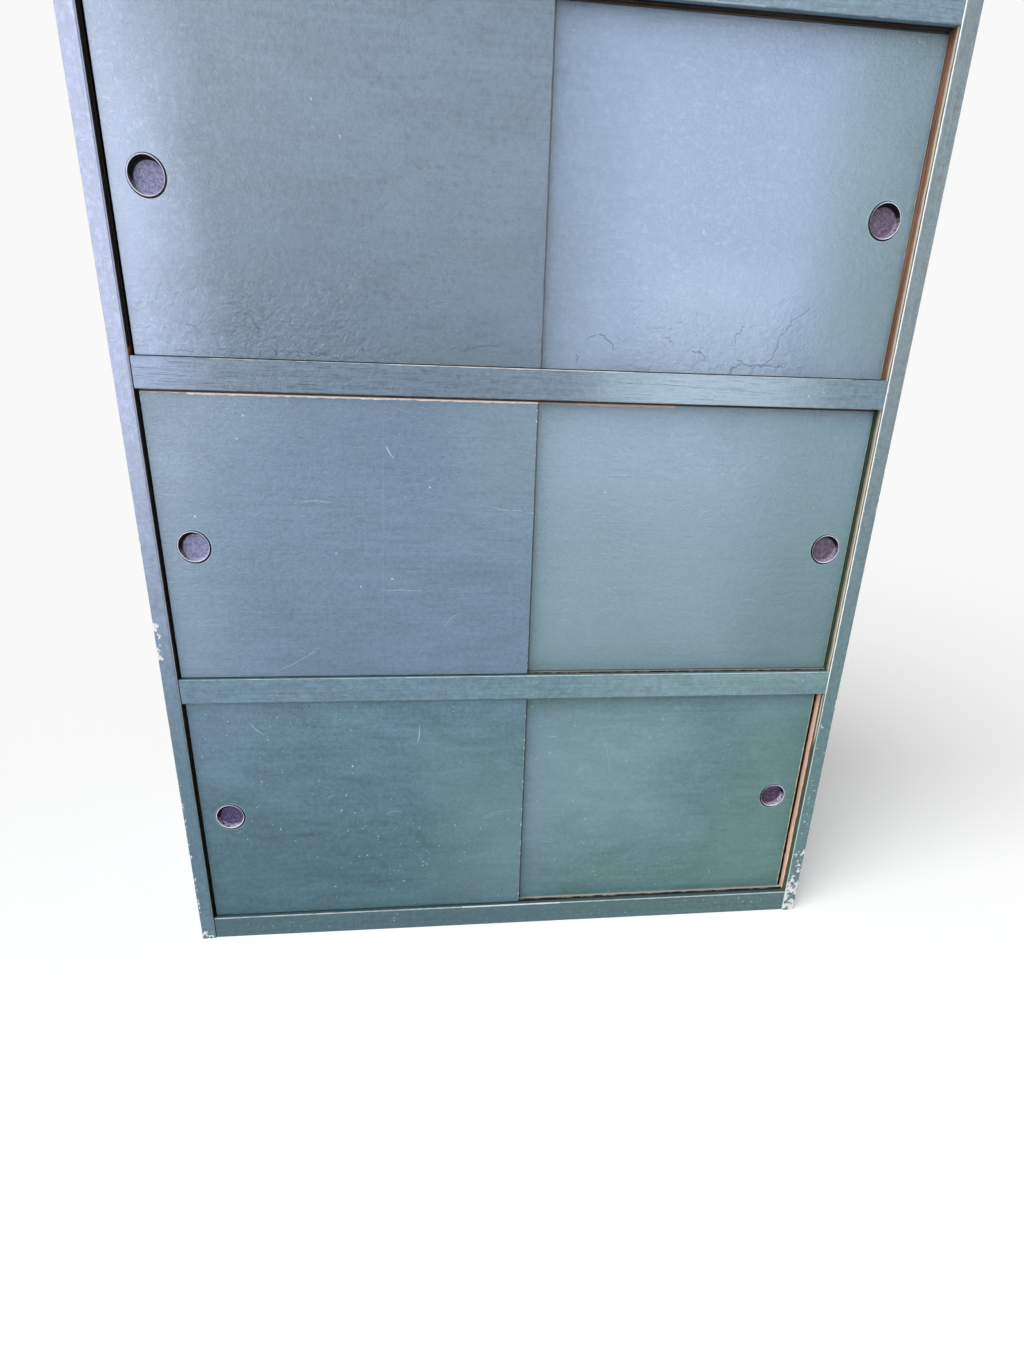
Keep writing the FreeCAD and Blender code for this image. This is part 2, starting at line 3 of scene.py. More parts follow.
import bpy
import numpy as np
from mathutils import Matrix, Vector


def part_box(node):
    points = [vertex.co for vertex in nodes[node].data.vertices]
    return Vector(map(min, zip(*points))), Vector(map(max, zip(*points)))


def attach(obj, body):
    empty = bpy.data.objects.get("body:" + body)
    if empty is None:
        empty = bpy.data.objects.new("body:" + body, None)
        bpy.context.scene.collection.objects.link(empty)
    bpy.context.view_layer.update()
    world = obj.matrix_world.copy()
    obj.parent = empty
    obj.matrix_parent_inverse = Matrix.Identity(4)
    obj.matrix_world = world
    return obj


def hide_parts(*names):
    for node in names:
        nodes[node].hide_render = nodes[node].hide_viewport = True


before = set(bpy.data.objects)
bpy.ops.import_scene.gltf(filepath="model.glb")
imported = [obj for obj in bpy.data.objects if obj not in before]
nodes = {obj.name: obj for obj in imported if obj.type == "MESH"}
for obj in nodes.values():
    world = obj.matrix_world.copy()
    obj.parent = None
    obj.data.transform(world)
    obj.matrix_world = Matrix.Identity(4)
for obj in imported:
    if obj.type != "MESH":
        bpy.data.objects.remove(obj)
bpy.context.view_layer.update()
print("frame loaded:", len(nodes), "pieces")


# Adds an object to the scene; the turns are in degrees
def putUp(name, data, where=(0, 0, 0), turn=(0, 0, 0)):
    thing = bpy.data.objects.new(name, data)
    thing.location = where
    thing.rotation_euler = [radians(angle) for angle in turn]
    bpy.context.scene.collection.objects.link(thing)
    return thing


# Camera: stands close, a little left of the middle, and looks down at the lower tiers
viewpoint = {
    "place": (-0.158263, -1.421208, 1.024582),
    "turn": (67.98489, -1.66440, -6.16812),
    "lens": 19.529,
    "filmHeight": 36.0,
}
cameraData = bpy.data.cameras.new("camera")
cameraData.sensor_fit = "VERTICAL"
cameraData.sensor_height = viewpoint["filmHeight"]
cameraData.lens = viewpoint["lens"]
camera = putUp("camera", cameraData, viewpoint["place"], viewpoint["turn"])
bpy.context.scene.camera = camera
bpy.context.scene.view_settings.view_transform = "Standard"
print("camera set")

past = 1  # metres: where a box's side must not show, it lies this far off


# Values and sockets go into a socket alike. Colours are written as they look on a screen, 0 to 255.
def join(tree, value, socket):
    if isinstance(value, bpy.types.NodeSocket):
        tree.links.new(value, socket)
    elif socket.type == "RGBA":
        parts = np.array(value) / 255.0
        bent = np.where(parts <= 0.04045, parts / 12.92, ((parts + 0.055) / 1.055) ** 2.4)
        socket.default_value = (*bent, 1.0)
    else:
        socket.default_value = value


def put(tree, kind, values=(), **settings):
    node = tree.nodes.new("ShaderNode" + kind)
    for name, setting in settings.items():
        setattr(node, name, setting)
    for socket, value in dict(values).items():
        join(tree, value, node.inputs[socket])
    return node


def calc(tree, operation, first, second=0.0, third=0.0, clamp=False):
    values = {0: first, 1: second, 2: third}
    return put(tree, "Math", values, operation=operation, use_clamp=clamp).outputs[0]


def minus(tree, first, second):
    return calc(tree, "SUBTRACT", first, second)


def times(tree, first, second):
    return calc(tree, "MULTIPLY", first, second)


def timesPlus(tree, first, second, third):
    return calc(tree, "MULTIPLY_ADD", first, second, third)


def vector(tree, operation, first, second=(0, 0, 0), third=(0, 0, 0)):
    values = {0: first, 1: second, 2: third}
    return put(tree, "VectorMath", values, operation=operation).outputs[0]


# For the vector operations that give one number
def measure(tree, operation, first, second=(0, 0, 0)):
    return put(tree, "VectorMath", {0: first, 1: second}, operation=operation).outputs["Value"]


def scaled(tree, first, share):
    return put(tree, "VectorMath", {0: first, "Scale": share}, operation="SCALE").outputs[0]


def split(tree, first):
    return put(tree, "SeparateXYZ", {0: first}).outputs


def blur(tree, value, start, end, low=0.0, high=1.0):
    values = {"Value": value, "From Min": start, "From Max": end, "To Min": low, "To Max": high}
    return put(tree, "MapRange", values, interpolation_type="SMOOTHSTEP").outputs[0]


def mix(tree, share, under, over):
    return put(tree, "Mix", {0: share, 6: under, 7: over}, data_type="RGBA").outputs[2]


def cloud(tree, place, scale, detail=3.0, rough=0.55, warp=0.0):
    values = {"Vector": place, "Scale": scale, "Detail": detail, "Roughness": rough, "Distortion": warp}
    return put(tree, "TexNoise", values).outputs[0]


# Noise about nought, as one number or in three directions
def swing(tree, *cloudValues):
    return minus(tree, cloud(tree, *cloudValues), 0.5)


def jitter(tree, place, scale, detail):
    values = {"Vector": place, "Scale": scale, "Detail": detail}
    colour = put(tree, "TexNoise", values).outputs["Color"]
    return vector(tree, "SUBTRACT", colour, (0.5, 0.5, 0.5))


def objectPlace(tree):
    return put(tree, "TexCoord").outputs["Object"]


def placeParts(tree):
    return split(tree, objectPlace(tree))


# Each seed moves the noise somewhere else
def seeded(tree, seed):
    step = put(tree, "CombineXYZ", {0: seed, 1: seed, 2: seed}).outputs[0]
    return vector(tree, "ADD", objectPlace(tree), vector(tree, "MULTIPLY", step, (1.7, 3.1, 2.3)))


# Distances inward from the nearer faces of a box, along each axis
def inward(tree, place, low, high):
    fromLow = vector(tree, "SUBTRACT", place, low)
    return split(tree, vector(tree, "MINIMUM", fromLow, vector(tree, "SUBTRACT", high, place)))


# A number, a triple and a quadruple make an input of three kinds: value, vector and colour
def newGroup(name, inputs, **outputs):
    tree = bpy.data.node_groups.new(name, "ShaderNodeTree")
    for label, value in inputs.items():
        kind = {3: "Vector", 4: "Color"}[len(value)] if isinstance(value, tuple) else "Float"
        socket = tree.interface.new_socket(name=label, in_out="INPUT", socket_type="NodeSocket" + kind)
        socket.default_value = value
    for label, kind in outputs.items():
        tree.interface.new_socket(name=label, in_out="OUTPUT", socket_type="NodeSocket" + kind)
    return tree, tree.nodes.new("NodeGroupInput").outputs, tree.nodes.new("NodeGroupOutput").inputs


def use(tree, group, **values):
    return put(tree, "Group", values, node_tree=group).outputs


# Brushed paint: a tone that changes with height, cloudy patches and brush strokes. On the doors and
# front posts the change with height is partly painted light.
def buildBrushedPaint():
    tree, inp, out = newGroup("brushedPaint", dict(
        high=(0.5, 0.5, 0.5, 1), low=(0.5, 0.5, 0.5, 1), axis=(0, 0, 1), lowAt=0.0, highAt=1.0,
        strokes=(3, 3, 140), seed=0.0, clouding=0.2, stroking=0.16, mottling=0.14,
        smearing=0.0,
    ), tone="Color", roughness="Float", height="Float")
    level = measure(tree, "DOT_PRODUCT", objectPlace(tree), inp["axis"])
    tone = mix(tree, blur(tree, level, inp["lowAt"], inp["highAt"]), inp["low"], inp["high"])
    place = seeded(tree, inp["seed"])
    drawn = vector(tree, "MULTIPLY", place, inp["strokes"])
    broad = vector(tree, "MULTIPLY", drawn, (1.6, 1.6, 0.15))
    patches = swing(tree, place, 4.5, 5.0, 0.6)
    streaks = swing(tree, drawn, 1.0, 4.0, 0.65, 0.4)
    dashes = swing(tree, drawn, 3.4, 3.0, 0.7, 0.2)
    smears = swing(tree, broad, 1.0, 3.0, 0.6, 0.8)
    mottle = blur(tree, cloud(tree, place, 110.0, 5.0, 0.8), 0.34, 0.66, -0.5, 0.5)
    shift = times(tree, streaks, inp["stroking"])
    shares = (patches, "clouding"), (dashes, "stroking"), (mottle, "mottling"), (smears, "smearing")
    for noise, share in shares:
        shift = timesPlus(tree, noise, inp[share], shift)
    join(tree, scaled(tree, tone, calc(tree, "ADD", shift, 1.0)), out["tone"])
    sheen = timesPlus(tree, patches, 0.16, 0.33)
    join(tree, timesPlus(tree, streaks, 0.12, sheen), out["roughness"])
    peel = timesPlus(tree, mottle, 0.4, times(tree, patches, 1.6))
    join(tree, timesPlus(tree, calc(tree, "ADD", streaks, dashes), 0.35, peel), out["height"])
    return tree


# Edge wear: of the three distances inward, the second smallest is the one to the nearest edge
def buildEdgeWear():
    tree, inp, out = newGroup("edgeWear", dict(
        low=(0, 0, 0), high=(1, 1, 1), reach=0.002, fray=0.002, seed=0.0,
    ), mask="Float")
    parts = inward(tree, objectPlace(tree), inp["low"], inp["high"])
    smaller = calc(tree, "MINIMUM", parts[0], parts[1])
    larger = calc(tree, "MAXIMUM", parts[0], parts[1])
    second = calc(tree, "MAXIMUM", smaller, calc(tree, "MINIMUM", larger, parts[2]))
    ragged = swing(tree, seeded(tree, inp["seed"]), 70.0, 5.0, 0.7)
    frayed = timesPlus(tree, ragged, inp["fray"], second)
    join(tree, blur(tree, frayed, 0.0, inp["reach"], 1.0, 0.0), out["mask"])
    return tree


# A patch: the least distance inward from the faces of a box, softened and frayed
def buildPatch():
    tree, inp, out = newGroup("patch", dict(
        low=(0, 0, 0), high=(1, 1, 1), soft=0.005, fray=0.0, grain=60.0,
    ), mask="Float")
    place = objectPlace(tree)
    parts = inward(tree, place, inp["low"], inp["high"])
    least = calc(tree, "MINIMUM", calc(tree, "MINIMUM", parts[0], parts[1]), parts[2])
    ragged = swing(tree, place, inp["grain"], 5.0, 0.7)
    frayed = timesPlus(tree, ragged, inp["fray"], least)
    join(tree, blur(tree, frayed, 0.0, inp["soft"]), out["mask"])
    return tree


# Chips: noise above a limit, inside a box, rarer towards its borders
def buildChips():
    tree, inp, out = newGroup("chips", dict(
        low=(0, 0, 0), high=(1, 1, 1), soft=0.01, grain=100.0, limit=0.55,
    ), mask="Float")
    region = use(tree, patch, low=inp["low"], high=inp["high"], soft=inp["soft"])["mask"]
    rough = cloud(tree, objectPlace(tree), inp["grain"], 6.0, 0.62)
    raised = timesPlus(tree, minus(tree, region, 1.0), 0.4, rough)
    join(tree, blur(tree, minus(tree, raised, inp["limit"]), 0.0, 0.025), out["mask"])
    return tree


# A scratch: the distance to a run between two points, as seen from the front. A parabola bows the run, and
# noise breaks it.
def buildScratch():
    tree, inp, out = newGroup("scratch", dict(
        start=(0, 0, 0), end=(1, 0, 0), width=0.0012, broken=0.4, bow=0.0, wander=0.003,
        jag=60.0,
    ), mask="Float")
    place = objectPlace(tree)
    stray = scaled(tree, jitter(tree, place, inp["jag"], 4.0), inp["wander"])
    flat = vector(tree, "MULTIPLY", vector(tree, "ADD", place, stray), (1, 0, 1))
    run = vector(tree, "SUBTRACT", inp["end"], inp["start"])
    offset = vector(tree, "SUBTRACT", flat, inp["start"])
    length = calc(tree, "MAXIMUM", measure(tree, "DOT_PRODUCT", run, run), 1e-9)
    along = calc(tree, "DIVIDE", measure(tree, "DOT_PRODUCT", offset, run), length, clamp=True)
    hump = times(tree, times(tree, along, minus(tree, 1.0, along)), 4.0)
    across = vector(tree, "CROSS_PRODUCT", vector(tree, "NORMALIZE", run), (0, 1, 0))
    rise = scaled(tree, across, times(tree, hump, inp["bow"]))
    away = measure(tree, "DISTANCE", offset, vector(tree, "ADD", scaled(tree, run, along), rise))
    taper = times(tree, inp["width"], timesPlus(tree, hump, 0.4, 0.3))
    line = blur(tree, away, times(tree, taper, 0.3), taper, 1.0, 0.0)
    kept = blur(tree, cloud(tree, place, 160.0), minus(tree, inp["broken"], 0.1), inp["broken"])
    join(tree, times(tree, line, kept), out["mask"])
    return tree


# Dots: a share of random cells, each with a small ragged spot at its middle
def buildDots():
    tree, inp, out = newGroup("dots", dict(
        scale=60.0, size=0.1, share=0.1, seed=0.0, cluster=0.0,
    ), mask="Float")
    place = seeded(tree, inp["seed"])
    moved = vector(tree, "MULTIPLY_ADD", jitter(tree, place, 330.0, 2.0), (0.012, 0.012, 0.012), place)
    cells = put(tree, "TexVoronoi", {"Vector": moved, "Scale": inp["scale"]}).outputs
    chance = put(tree, "SeparateColor", {0: cells["Color"]}).outputs
    chosen = calc(tree, "LESS_THAN", chance[0], inp["share"])
    reach = times(tree, inp["size"], timesPlus(tree, chance[1], 1.1, 0.3))
    spot = blur(tree, cells["Distance"], times(tree, reach, 0.5), reach, 1.0, 0.0)
    sparse = minus(tree, inp["cluster"], 0.05)
    crowd = blur(tree, cloud(tree, seeded(tree, inp["seed"]), 7.0, 2.0), sparse, inp["cluster"])
    join(tree, times(tree, times(tree, chosen, spot), crowd), out["mask"])
    return tree


# Wood grain: noise drawn out along the board, with broad rings and fine pores
def buildWoodGrain():
    tree, inp, out = newGroup("woodGrain", dict(
        light=(0.5, 0.4, 0.3, 1), dark=(0.3, 0.2, 0.1, 1), draw=(3, 40, 40), seed=0.0,
        grime=0.3,
    ), tone="Color", pores="Float", height="Float")
    place = seeded(tree, inp["seed"])
    drawn = vector(tree, "MULTIPLY", place, inp["draw"])
    rings = cloud(tree, drawn, 1.0, 3.0, 0.5, 1.2)
    pores = blur(tree, cloud(tree, drawn, 6.0, 4.0, 0.7, 0.3), 0.42, 0.3)
    tone = mix(tree, blur(tree, rings, 0.36, 0.66), inp["dark"], inp["light"])
    tone = mix(tree, times(tree, pores, 0.45), tone, inp["dark"])
    dirtAndShade = times(tree, blur(tree, cloud(tree, place, 7.0, 5.0, 0.65), 0.45, 0.75), inp["grime"])
    join(tree, mix(tree, dirtAndShade, tone, scaled(tree, tone, 0.42)), out["tone"])
    join(tree, pores, out["pores"])
    join(tree, minus(tree, rings, pores), out["height"])
    return tree


brushedPaint = buildBrushedPaint()
edgeWear = buildEdgeWear()
patch = buildPatch()
chips = buildChips()
scratch = buildScratch()
dots = buildDots()
woodGrain = buildWoodGrain()
print("effect groups built")


# Kinds of lines: the limit of the noise that breaks them, how far they stray in metres, how often they turn
lineKinds = {
    "doorCrack": {"broken": 0.38, "wander": 0.016, "jag": 130.0},
    "railCrack": {"broken": 0.3, "wander": 0.006, "jag": 60.0},
    "scratch": {"broken": 0.42, "wander": 0.004, "jag": 60.0},
    "nick": {"broken": 0.1, "wander": 0.004, "jag": 60.0},
    "knock": {"broken": 0.1, "wander": 0.004, "jag": 200.0},
}


# A material in the making: scratches, spots and patches are laid over its tone in turn
class Coat:
    def __init__(self, name, bumpDepth, metallic=0.0):
        self.material = bpy.data.materials.new(name)
        self.material.use_nodes = True
        self.tree = self.material.node_tree
        self.shader = self.tree.nodes["Principled BSDF"].inputs
        self.shader["Metallic"].default_value = metallic
        self.bump = put(self.tree, "Bump", {"Distance": bumpDepth, "Strength": 1.0})
        self.tree.links.new(self.bump.outputs[0], self.shader["Normal"])

    def lay(self, mask, colour, strength=1.0):
        self.tone = mix(self.tree, times(self.tree, mask, strength), self.tone, colour)

    def layDots(self, colour, strength, **values):
        self.lay(use(self.tree, dots, **values)["mask"], colour, strength)

    def layEdges(self, name, colour, strength, **values):
        low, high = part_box(name)
        self.lay(use(self.tree, edgeWear, low=low, high=high, **values)["mask"], colour, strength)

    # Patches and chips: a box as it is seen from the front, right through unless a depth is given
    def layBox(self, group, sides, colour, strength, front=-past, back=past, **values):
        x0, z0, x1, z1 = sides
        box = use(self.tree, group, low=(x0, front, z0), high=(x1, back, z1), **values)
        self.lay(box["mask"], colour, strength)

    # Each row has x, z of both ends in millimetres, width, strength and bow
    def layLines(self, rows, kind, colour, share=1.0):
        masks = []
        for x0, z0, x1, z1, width, strength, bow in rows:
            line = use(self.tree, scratch, start=(x0 / 1000, 0, z0 / 1000), end=(x1 / 1000, 0, z1 / 1000),
                       width=width / 1000, bow=bow / 1000, **lineKinds[kind])
            self.lay(line["mask"], colour, strength * share)
            masks.append(line["mask"])
        return masks

    def finish(self, roughness, height, name=None):
        join(self.tree, self.tone, self.shader["Base Color"])
        join(self.tree, roughness, self.shader["Roughness"])
        join(self.tree, height, self.bump.inputs["Height"])
        for slot in nodes[name].material_slots if name else []:
            slot.material = self.material
        return self.material


# Door fronts: brushed blue-green paint, one entry for each door. Each door's tone runs from its low colour
# at the foot to its high colour at the top. It is lighter and bluer higher up, partly a painted sheen of
# reflected light, and darker and greener low down, partly painted shade.
doorLook = {
    "upper_left": {
        "high": (92, 114, 135), "low": (73, 96, 118), "seed": 1.3, "mottle": 0.24, "stroke": 0.3,
        "smear": 0.5, "specks": 0.012,
    },
    "upper_right": {
        "high": (101, 126, 152), "low": (97, 121, 144), "seed": 2.9, "mottle": 0.2, "stroke": 0.2,
        "smear": 0.4, "specks": 0.01,
    },
    "middle_left": {
        "high": (98, 123, 147), "low": (98, 124, 146), "seed": 4.1, "mottle": 0.22, "stroke": 0.3,
        "smear": 0.4, "specks": 0.012,
    },
    "middle_right": {
        "high": (105, 134, 155), "low": (96, 126, 136), "seed": 5.7, "mottle": 0.13, "stroke": 0.18,
        "smear": 0.2, "specks": 0.008,
    },
    "lower_left": {
        "high": (84, 116, 132), "low": (62, 97, 109), "seed": 7.2, "mottle": 0.34, "stroke": 0.42,
        "smear": 1.0, "specks": 0.2,
    },
    "lower_right": {
        "high": (89, 123, 131), "low": (82, 117, 119), "seed": 8.8, "mottle": 0.24, "stroke": 0.4,
        "smear": 0.8, "specks": 0.08,
    },
}
# Scratches, and nicks where a row is short
doorScratches = {
    "middle_left": [
        (-221, 929, -209, 909, 1.2, 0.8, -1), (-222, 926, -214, 913, 0.9, 0.4, 2),
        (-155, 868, -152, 866, 1.9, 0.9, 0), (-160, 875, -146, 879, 0.7, 0.4, 0),
        (-367, 838, -310, 840, 0.8, 0.6, 4), (-57, 838, -6, 832, 0.8, 0.55, -3),
        (-220, 718, -216, 717, 2.0, 0.95, 0), (-237, 697, -167, 696, 0.9, 0.5, 1),
        (-133, 629, -100, 657, 0.9, 0.5, 7), (-124, 634, -108, 651, 0.7, 0.4, 5),
        (-420, 556, -345, 597, 0.8, 0.5, -4), (-224, 966, -237, 609, 1.8, 0.08, 0),
        (-60, 745, -38, 752, 0.7, 0.3, 3), (-120, 900, -96, 905, 0.6, 0.3, 3),
    ],
    "lower_left": [
        (-471, 457, -451, 433, 1.1, 0.6, -2), (-477, 462, -462, 446, 0.7, 0.4, -2),
        (-178, 446, -182, 410, 1.9, 0.6, 2), (-511, 462, -510, 461, 2.4, 0.95, 0),
        (-290, 488, -289, 487, 2.2, 0.9, 0), (-317, 461, -316, 461, 2.0, 0.9, 0),
        (-426, 468, -425, 467, 2.0, 0.9, 0), (-60, 250, -6, 262, 1.0, 0.4, 3),
        (-62, 246, -10, 256, 0.8, 0.3, 2), (-245, 262, -215, 268, 3.4, 0.14, 4),
        (-350, 300, -335, 306, 1.0, 0.45, 2),
    ],
    "middle_right": [
        (70, 640, 92, 641, 0.8, 0.3, 0), (300, 820, 322, 835, 0.8, 0.35, 3),
        (150, 700, 168, 690, 0.8, 0.3, -2),
    ],
    "lower_right": [
        (120, 330, 160, 352, 0.9, 0.3, 4), (168, 404, 186, 330, 1.4, 0.22, 3),
        (130, 420, 220, 434, 1.2, 0.2, 3), (60, 180, 84, 176, 0.8, 0.35, 0), (62, 412, 78, 411, 0.9, 0.6, 0),
        (414, 96, 420, 84, 1.1, 0.55, 0), (300, 470, 312, 462, 0.8, 0.35, 0),
    ],
}
# Cracks where the paint lifts
doorCracks = {
    "upper_left": [
        (-382, 1065, -378, 1048, 0.9, 0.5, 3), (-525, 1053, -491, 1052, 0.8, 0.3, 2),
        (-357, 1058, -277, 1047, 0.8, 0.3, 4), (-498, 1090, -478, 1075, 0.8, 0.45, 3),
        (-106, 1065, -46, 1075, 0.8, 0.5, 4), (-420, 1110, -398, 1082, 0.8, 0.3, 5),
    ],
    "upper_right": [
        (412, 1128, 398, 1105, 0.9, 0.55, 3), (398, 1105, 381, 1065, 1.0, 0.75, 4),
        (381, 1065, 333, 1070, 1.0, 0.6, 5), (322, 1050, 340, 1061, 0.8, 0.5, 2),
        (356, 1057, 412, 1060, 0.8, 0.45, 3), (85, 1086, 107, 1098, 0.8, 0.4, 2),
        (109, 1098, 134, 1076, 1.0, 0.6, 4), (210, 1098, 228, 1082, 0.8, 0.5, 5),
        (75, 1068, 76, 1057, 0.8, 0.4, 0), (255, 1077, 281, 1071, 0.8, 0.45, 4),
        (326, 1091, 337, 1118, 0.8, 0.3, 3), (440, 1150, 412, 1128, 0.8, 0.4, 4),
    ],
}
# Hazy areas: low x, low z, high x, high z, softness in metres, strength, colour. The lighter, bluer
# areas are painted sheen, light reflected in the paint; the darker, greener ones deepen the paint's tone.
doorSheenAndTone = {
    "upper_left": [
        (-0.8, 0.9, -0.42, 1.7, 0.18, 0.8, (176, 192, 226)),
        (-0.3, 1.0, 0.1, 1.4, 0.22, 0.1, (152, 178, 192)), (-0.24, 1.0, 0.08, 1.1, 0.07, 0.4, (68, 96, 104)),
    ],
    "upper_right": [
        (-0.02, 0.96, 0.6, 1.6, 0.2, 0.52, (160, 182, 216)),
        (0.38, 1.0, 0.7, 1.6, 0.12, 0.45, (100, 130, 128)),
        (0.14, 0.94, 0.46, 1.24, 0.1, 0.2, (184, 204, 226)),
    ],
    "middle_left": [
        (-0.2, 0.7, 0.2, 1.05, 0.2, 0.16, (152, 178, 192)),
        (-0.75, 0.45, -0.42, 1.05, 0.16, 0.3, (158, 176, 200)),
        (-0.14, 0.8, 0.1, 1.05, 0.1, 0.3, (92, 122, 130)),
        (-0.46, 0.82, -0.06, 1.1, 0.12, 0.34, (72, 98, 126)),
    ],
    "middle_right": [
        (-0.1, 0.45, 0.5, 1.05, 0.2, 0.34, (152, 178, 192)),
        (0.36, 0.4, 0.75, 1.05, 0.14, 0.3, (104, 136, 128)),
        (0.02, 0.84, 0.36, 1.1, 0.1, 0.16, (170, 196, 226)),
    ],
    "lower_left": [
        (-0.2, -0.05, 0.22, 0.42, 0.2, 0.22, (146, 176, 186)),
        (-0.75, 0.25, -0.4, 0.6, 0.16, 0.22, (120, 140, 176)),
        (-0.22, 0.05, 0.14, 0.5, 0.12, 0.2, (92, 128, 118)),
    ],
    "lower_right": [
        (-0.1, 0.1, 0.4, 0.55, 0.2, 0.3, (148, 178, 188)),
        (0.34, -0.05, 0.75, 0.55, 0.16, 0.3, (96, 130, 116)),
        (-0.12, 0.0, 0.12, 0.5, 0.08, 0.2, (120, 142, 176)),
    ],
}
# Ragged strips where a door's top edge has lost its paint: low x, high x, width, strength, colour
doorStrips = {
    "middle_left": [
        (-0.575, -0.5, 0.002, 0.7, (246, 216, 196)), (-0.51, 0.02, 0.0032, 1.0, (255, 232, 218)),
    ],
    "middle_right": [
        (0.0, 0.15, 0.0034, 0.65, (214, 168, 134)), (0.08, 0.24, 0.0036, 0.85, (236, 188, 158)),
    ],
}
# Wear on the doors, and one painted shadow: the dark band on a rear door beside the front door's edge
doorWear = {
    "scratch": (192, 206, 220), "spot": (222, 226, 224), "ring": (158, 174, 178), "edge": (150, 168, 172),
    "rawEdge": (226, 214, 168), "crack": (74, 96, 110), "grime": (44, 52, 72),
    "nickLength": 6, "ringReach": (0.0245, 0.0258), "rawWidth": 0.0018, "grimeReach": (-0.002, 0.0046),
    "knockReach": 0.004, "knockLimit": {"lower": 0.56, "middle": 0.6},
    "rawStrength": {"lower": 0.9, "middle": 0.4, "upper": 0.4},
    "left": {"crackShare": 0.25, "crackDepth": -0.8, "relief": (-0.7, -0.2), "flecks": (-0.42, 0.0, 0.32)},
    "right": {"crackShare": 0.75, "crackDepth": -2.5, "relief": (0.1, 0.5), "flecks": (0.05, 0.5, 0.2)},
}


def pullMiddle(door):
    low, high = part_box(door + "_pull")
    return (low[0] + high[0]) / 2, (low[2] + high[2]) / 2


# From a pull's middle, as seen from the front
def fromPull(tree, door):
    x, z = pullMiddle(door)
    return vector(tree, "MULTIPLY", vector(tree, "SUBTRACT", objectPlace(tree), (x, 0, z)), (1, 0, 1))


# Round a pull: a ring of thick paint
def pullRing(tree, door):
    radius = measure(tree, "LENGTH", fromPull(tree, door))
    ragged = times(tree, cloud(tree, objectPlace(tree), 90.0, 4.0, 0.7), 0.006)
    return blur(tree, minus(tree, radius, ragged), *doorWear["ringReach"], 1.0, 0.0)


def dressDoorFront(door, look):
    name = door + "_door_front"
    low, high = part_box(name)
    foot, head = low[2] - past, high[2] + past
    tier, side = door.split("_")
    wear, seed, spot = doorWear[side], look["seed"], doorWear["spot"]
    coat = Coat(door + "DoorPaint", 0.0006)
    tree = coat.tree
    # Lighter and bluer towards the top, partly painted sheen; darker towards the foot, partly painted shade
    paint = use(tree, brushedPaint, high=look["high"], low=look["low"], lowAt=low[2] + 0.03,
                highAt=high[2] - 0.05, strokes=(5, 5, 130), seed=seed, mottling=look["mottle"],
                stroking=look["stroke"], smearing=look["smear"])
    coat.tone, height = paint["tone"], paint["height"]
    # Hazy areas: the lighter ones are painted sheen, the darker ones deepen the tone
    for *sides, soft, strength, colour in doorSheenAndTone[door]:
        coat.layBox(patch, sides, colour, strength, soft=soft, fray=0.12, grain=5.0)
    cracks = doorCracks.get(door, [])
    for crack in coat.layLines(cracks, "doorCrack", doorWear["crack"], wear["crackShare"]):
        height = timesPlus(tree, crack, wear["crackDepth"], height)
    if tier == "upper":
        # Near the foot the paint has shrunk into a fine relief
        start, end = wear["relief"]
        region = use(tree, patch, low=(start, -past, 0.9), high=(end, past, 1.2), soft=0.1, fray=0.1,
                     grain=8.0)
        ripple = times(tree, cloud(tree, seeded(tree, seed), 70.0, 4.0, 0.6, 1.0), region["mask"])
        height = timesPlus(tree, ripple, 3.0, height)
    for row in doorScratches.get(door, []):
        kind = "scratch" if abs(row[0] - row[2]) > doorWear["nickLength"] else "nick"
        coat.layLines([row], kind, doorWear["scratch"])
    specks = look["specks"]
    coat.layDots(spot, 0.9, scale=80.0, size=0.14, share=specks, seed=seed, cluster=0.54)
    coat.layDots(spot, 0.5, scale=170.0, size=0.22, share=specks * 1.4, seed=seed + 4, cluster=0.56)
    if tier == "lower":
        # Flecks gather where feet and brooms knock the door
        start, end, top = wear["flecks"]
        coat.layBox(chips, (start, 0.02, end, top), spot, 0.8, soft=0.08, grain=190.0, limit=0.67)
    coat.lay(pullRing(tree, door), doorWear["ring"], 0.3)
    coat.layEdges(name, doorWear["edge"], 0.5, reach=0.0014, fray=0.003, seed=seed)
    if side == "right":
        raw = (high[0] - doorWear["rawWidth"], foot, high[0] + past, head)
        coat.layBox(patch, raw, doorWear["rawEdge"], doorWear["rawStrength"][tier], soft=0.0006,
                    fray=0.006, grain=80.0)
        # Painted shadow: a dark band on the rear door where the front door's edge stands before it
        start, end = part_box(tier + "_left_door_front")[1][0] + np.array(doorWear["grimeReach"])
        coat.layBox(patch, (start, foot, end, head), doorWear["grime"], 0.85, soft=0.0008, fray=0.001,
                    grain=40.0)
    elif tier != "upper":
        # The edge that meets the other door is knocked through in a few places
        start, end = high[0] - doorWear["knockReach"], high[0] + doorWear["knockReach"]
        coat.layBox(chips, (start, low[2], end, high[2]), spot, 0.8, soft=0.003, grain=120.0,
                    limit=doorWear["knockLimit"][tier])
    for x0, x1, width, strength, colour in doorStrips.get(door, []):
        strip = (x0, high[2] - width, x1, head)
        coat.layBox(patch, strip, colour, strength, soft=0.0007, fray=0.0048, grain=60.0)
    coat.finish(paint["roughness"], height, name)


for door, look in doorLook.items():
    dressDoorFront(door, look)
print("door fronts painted")

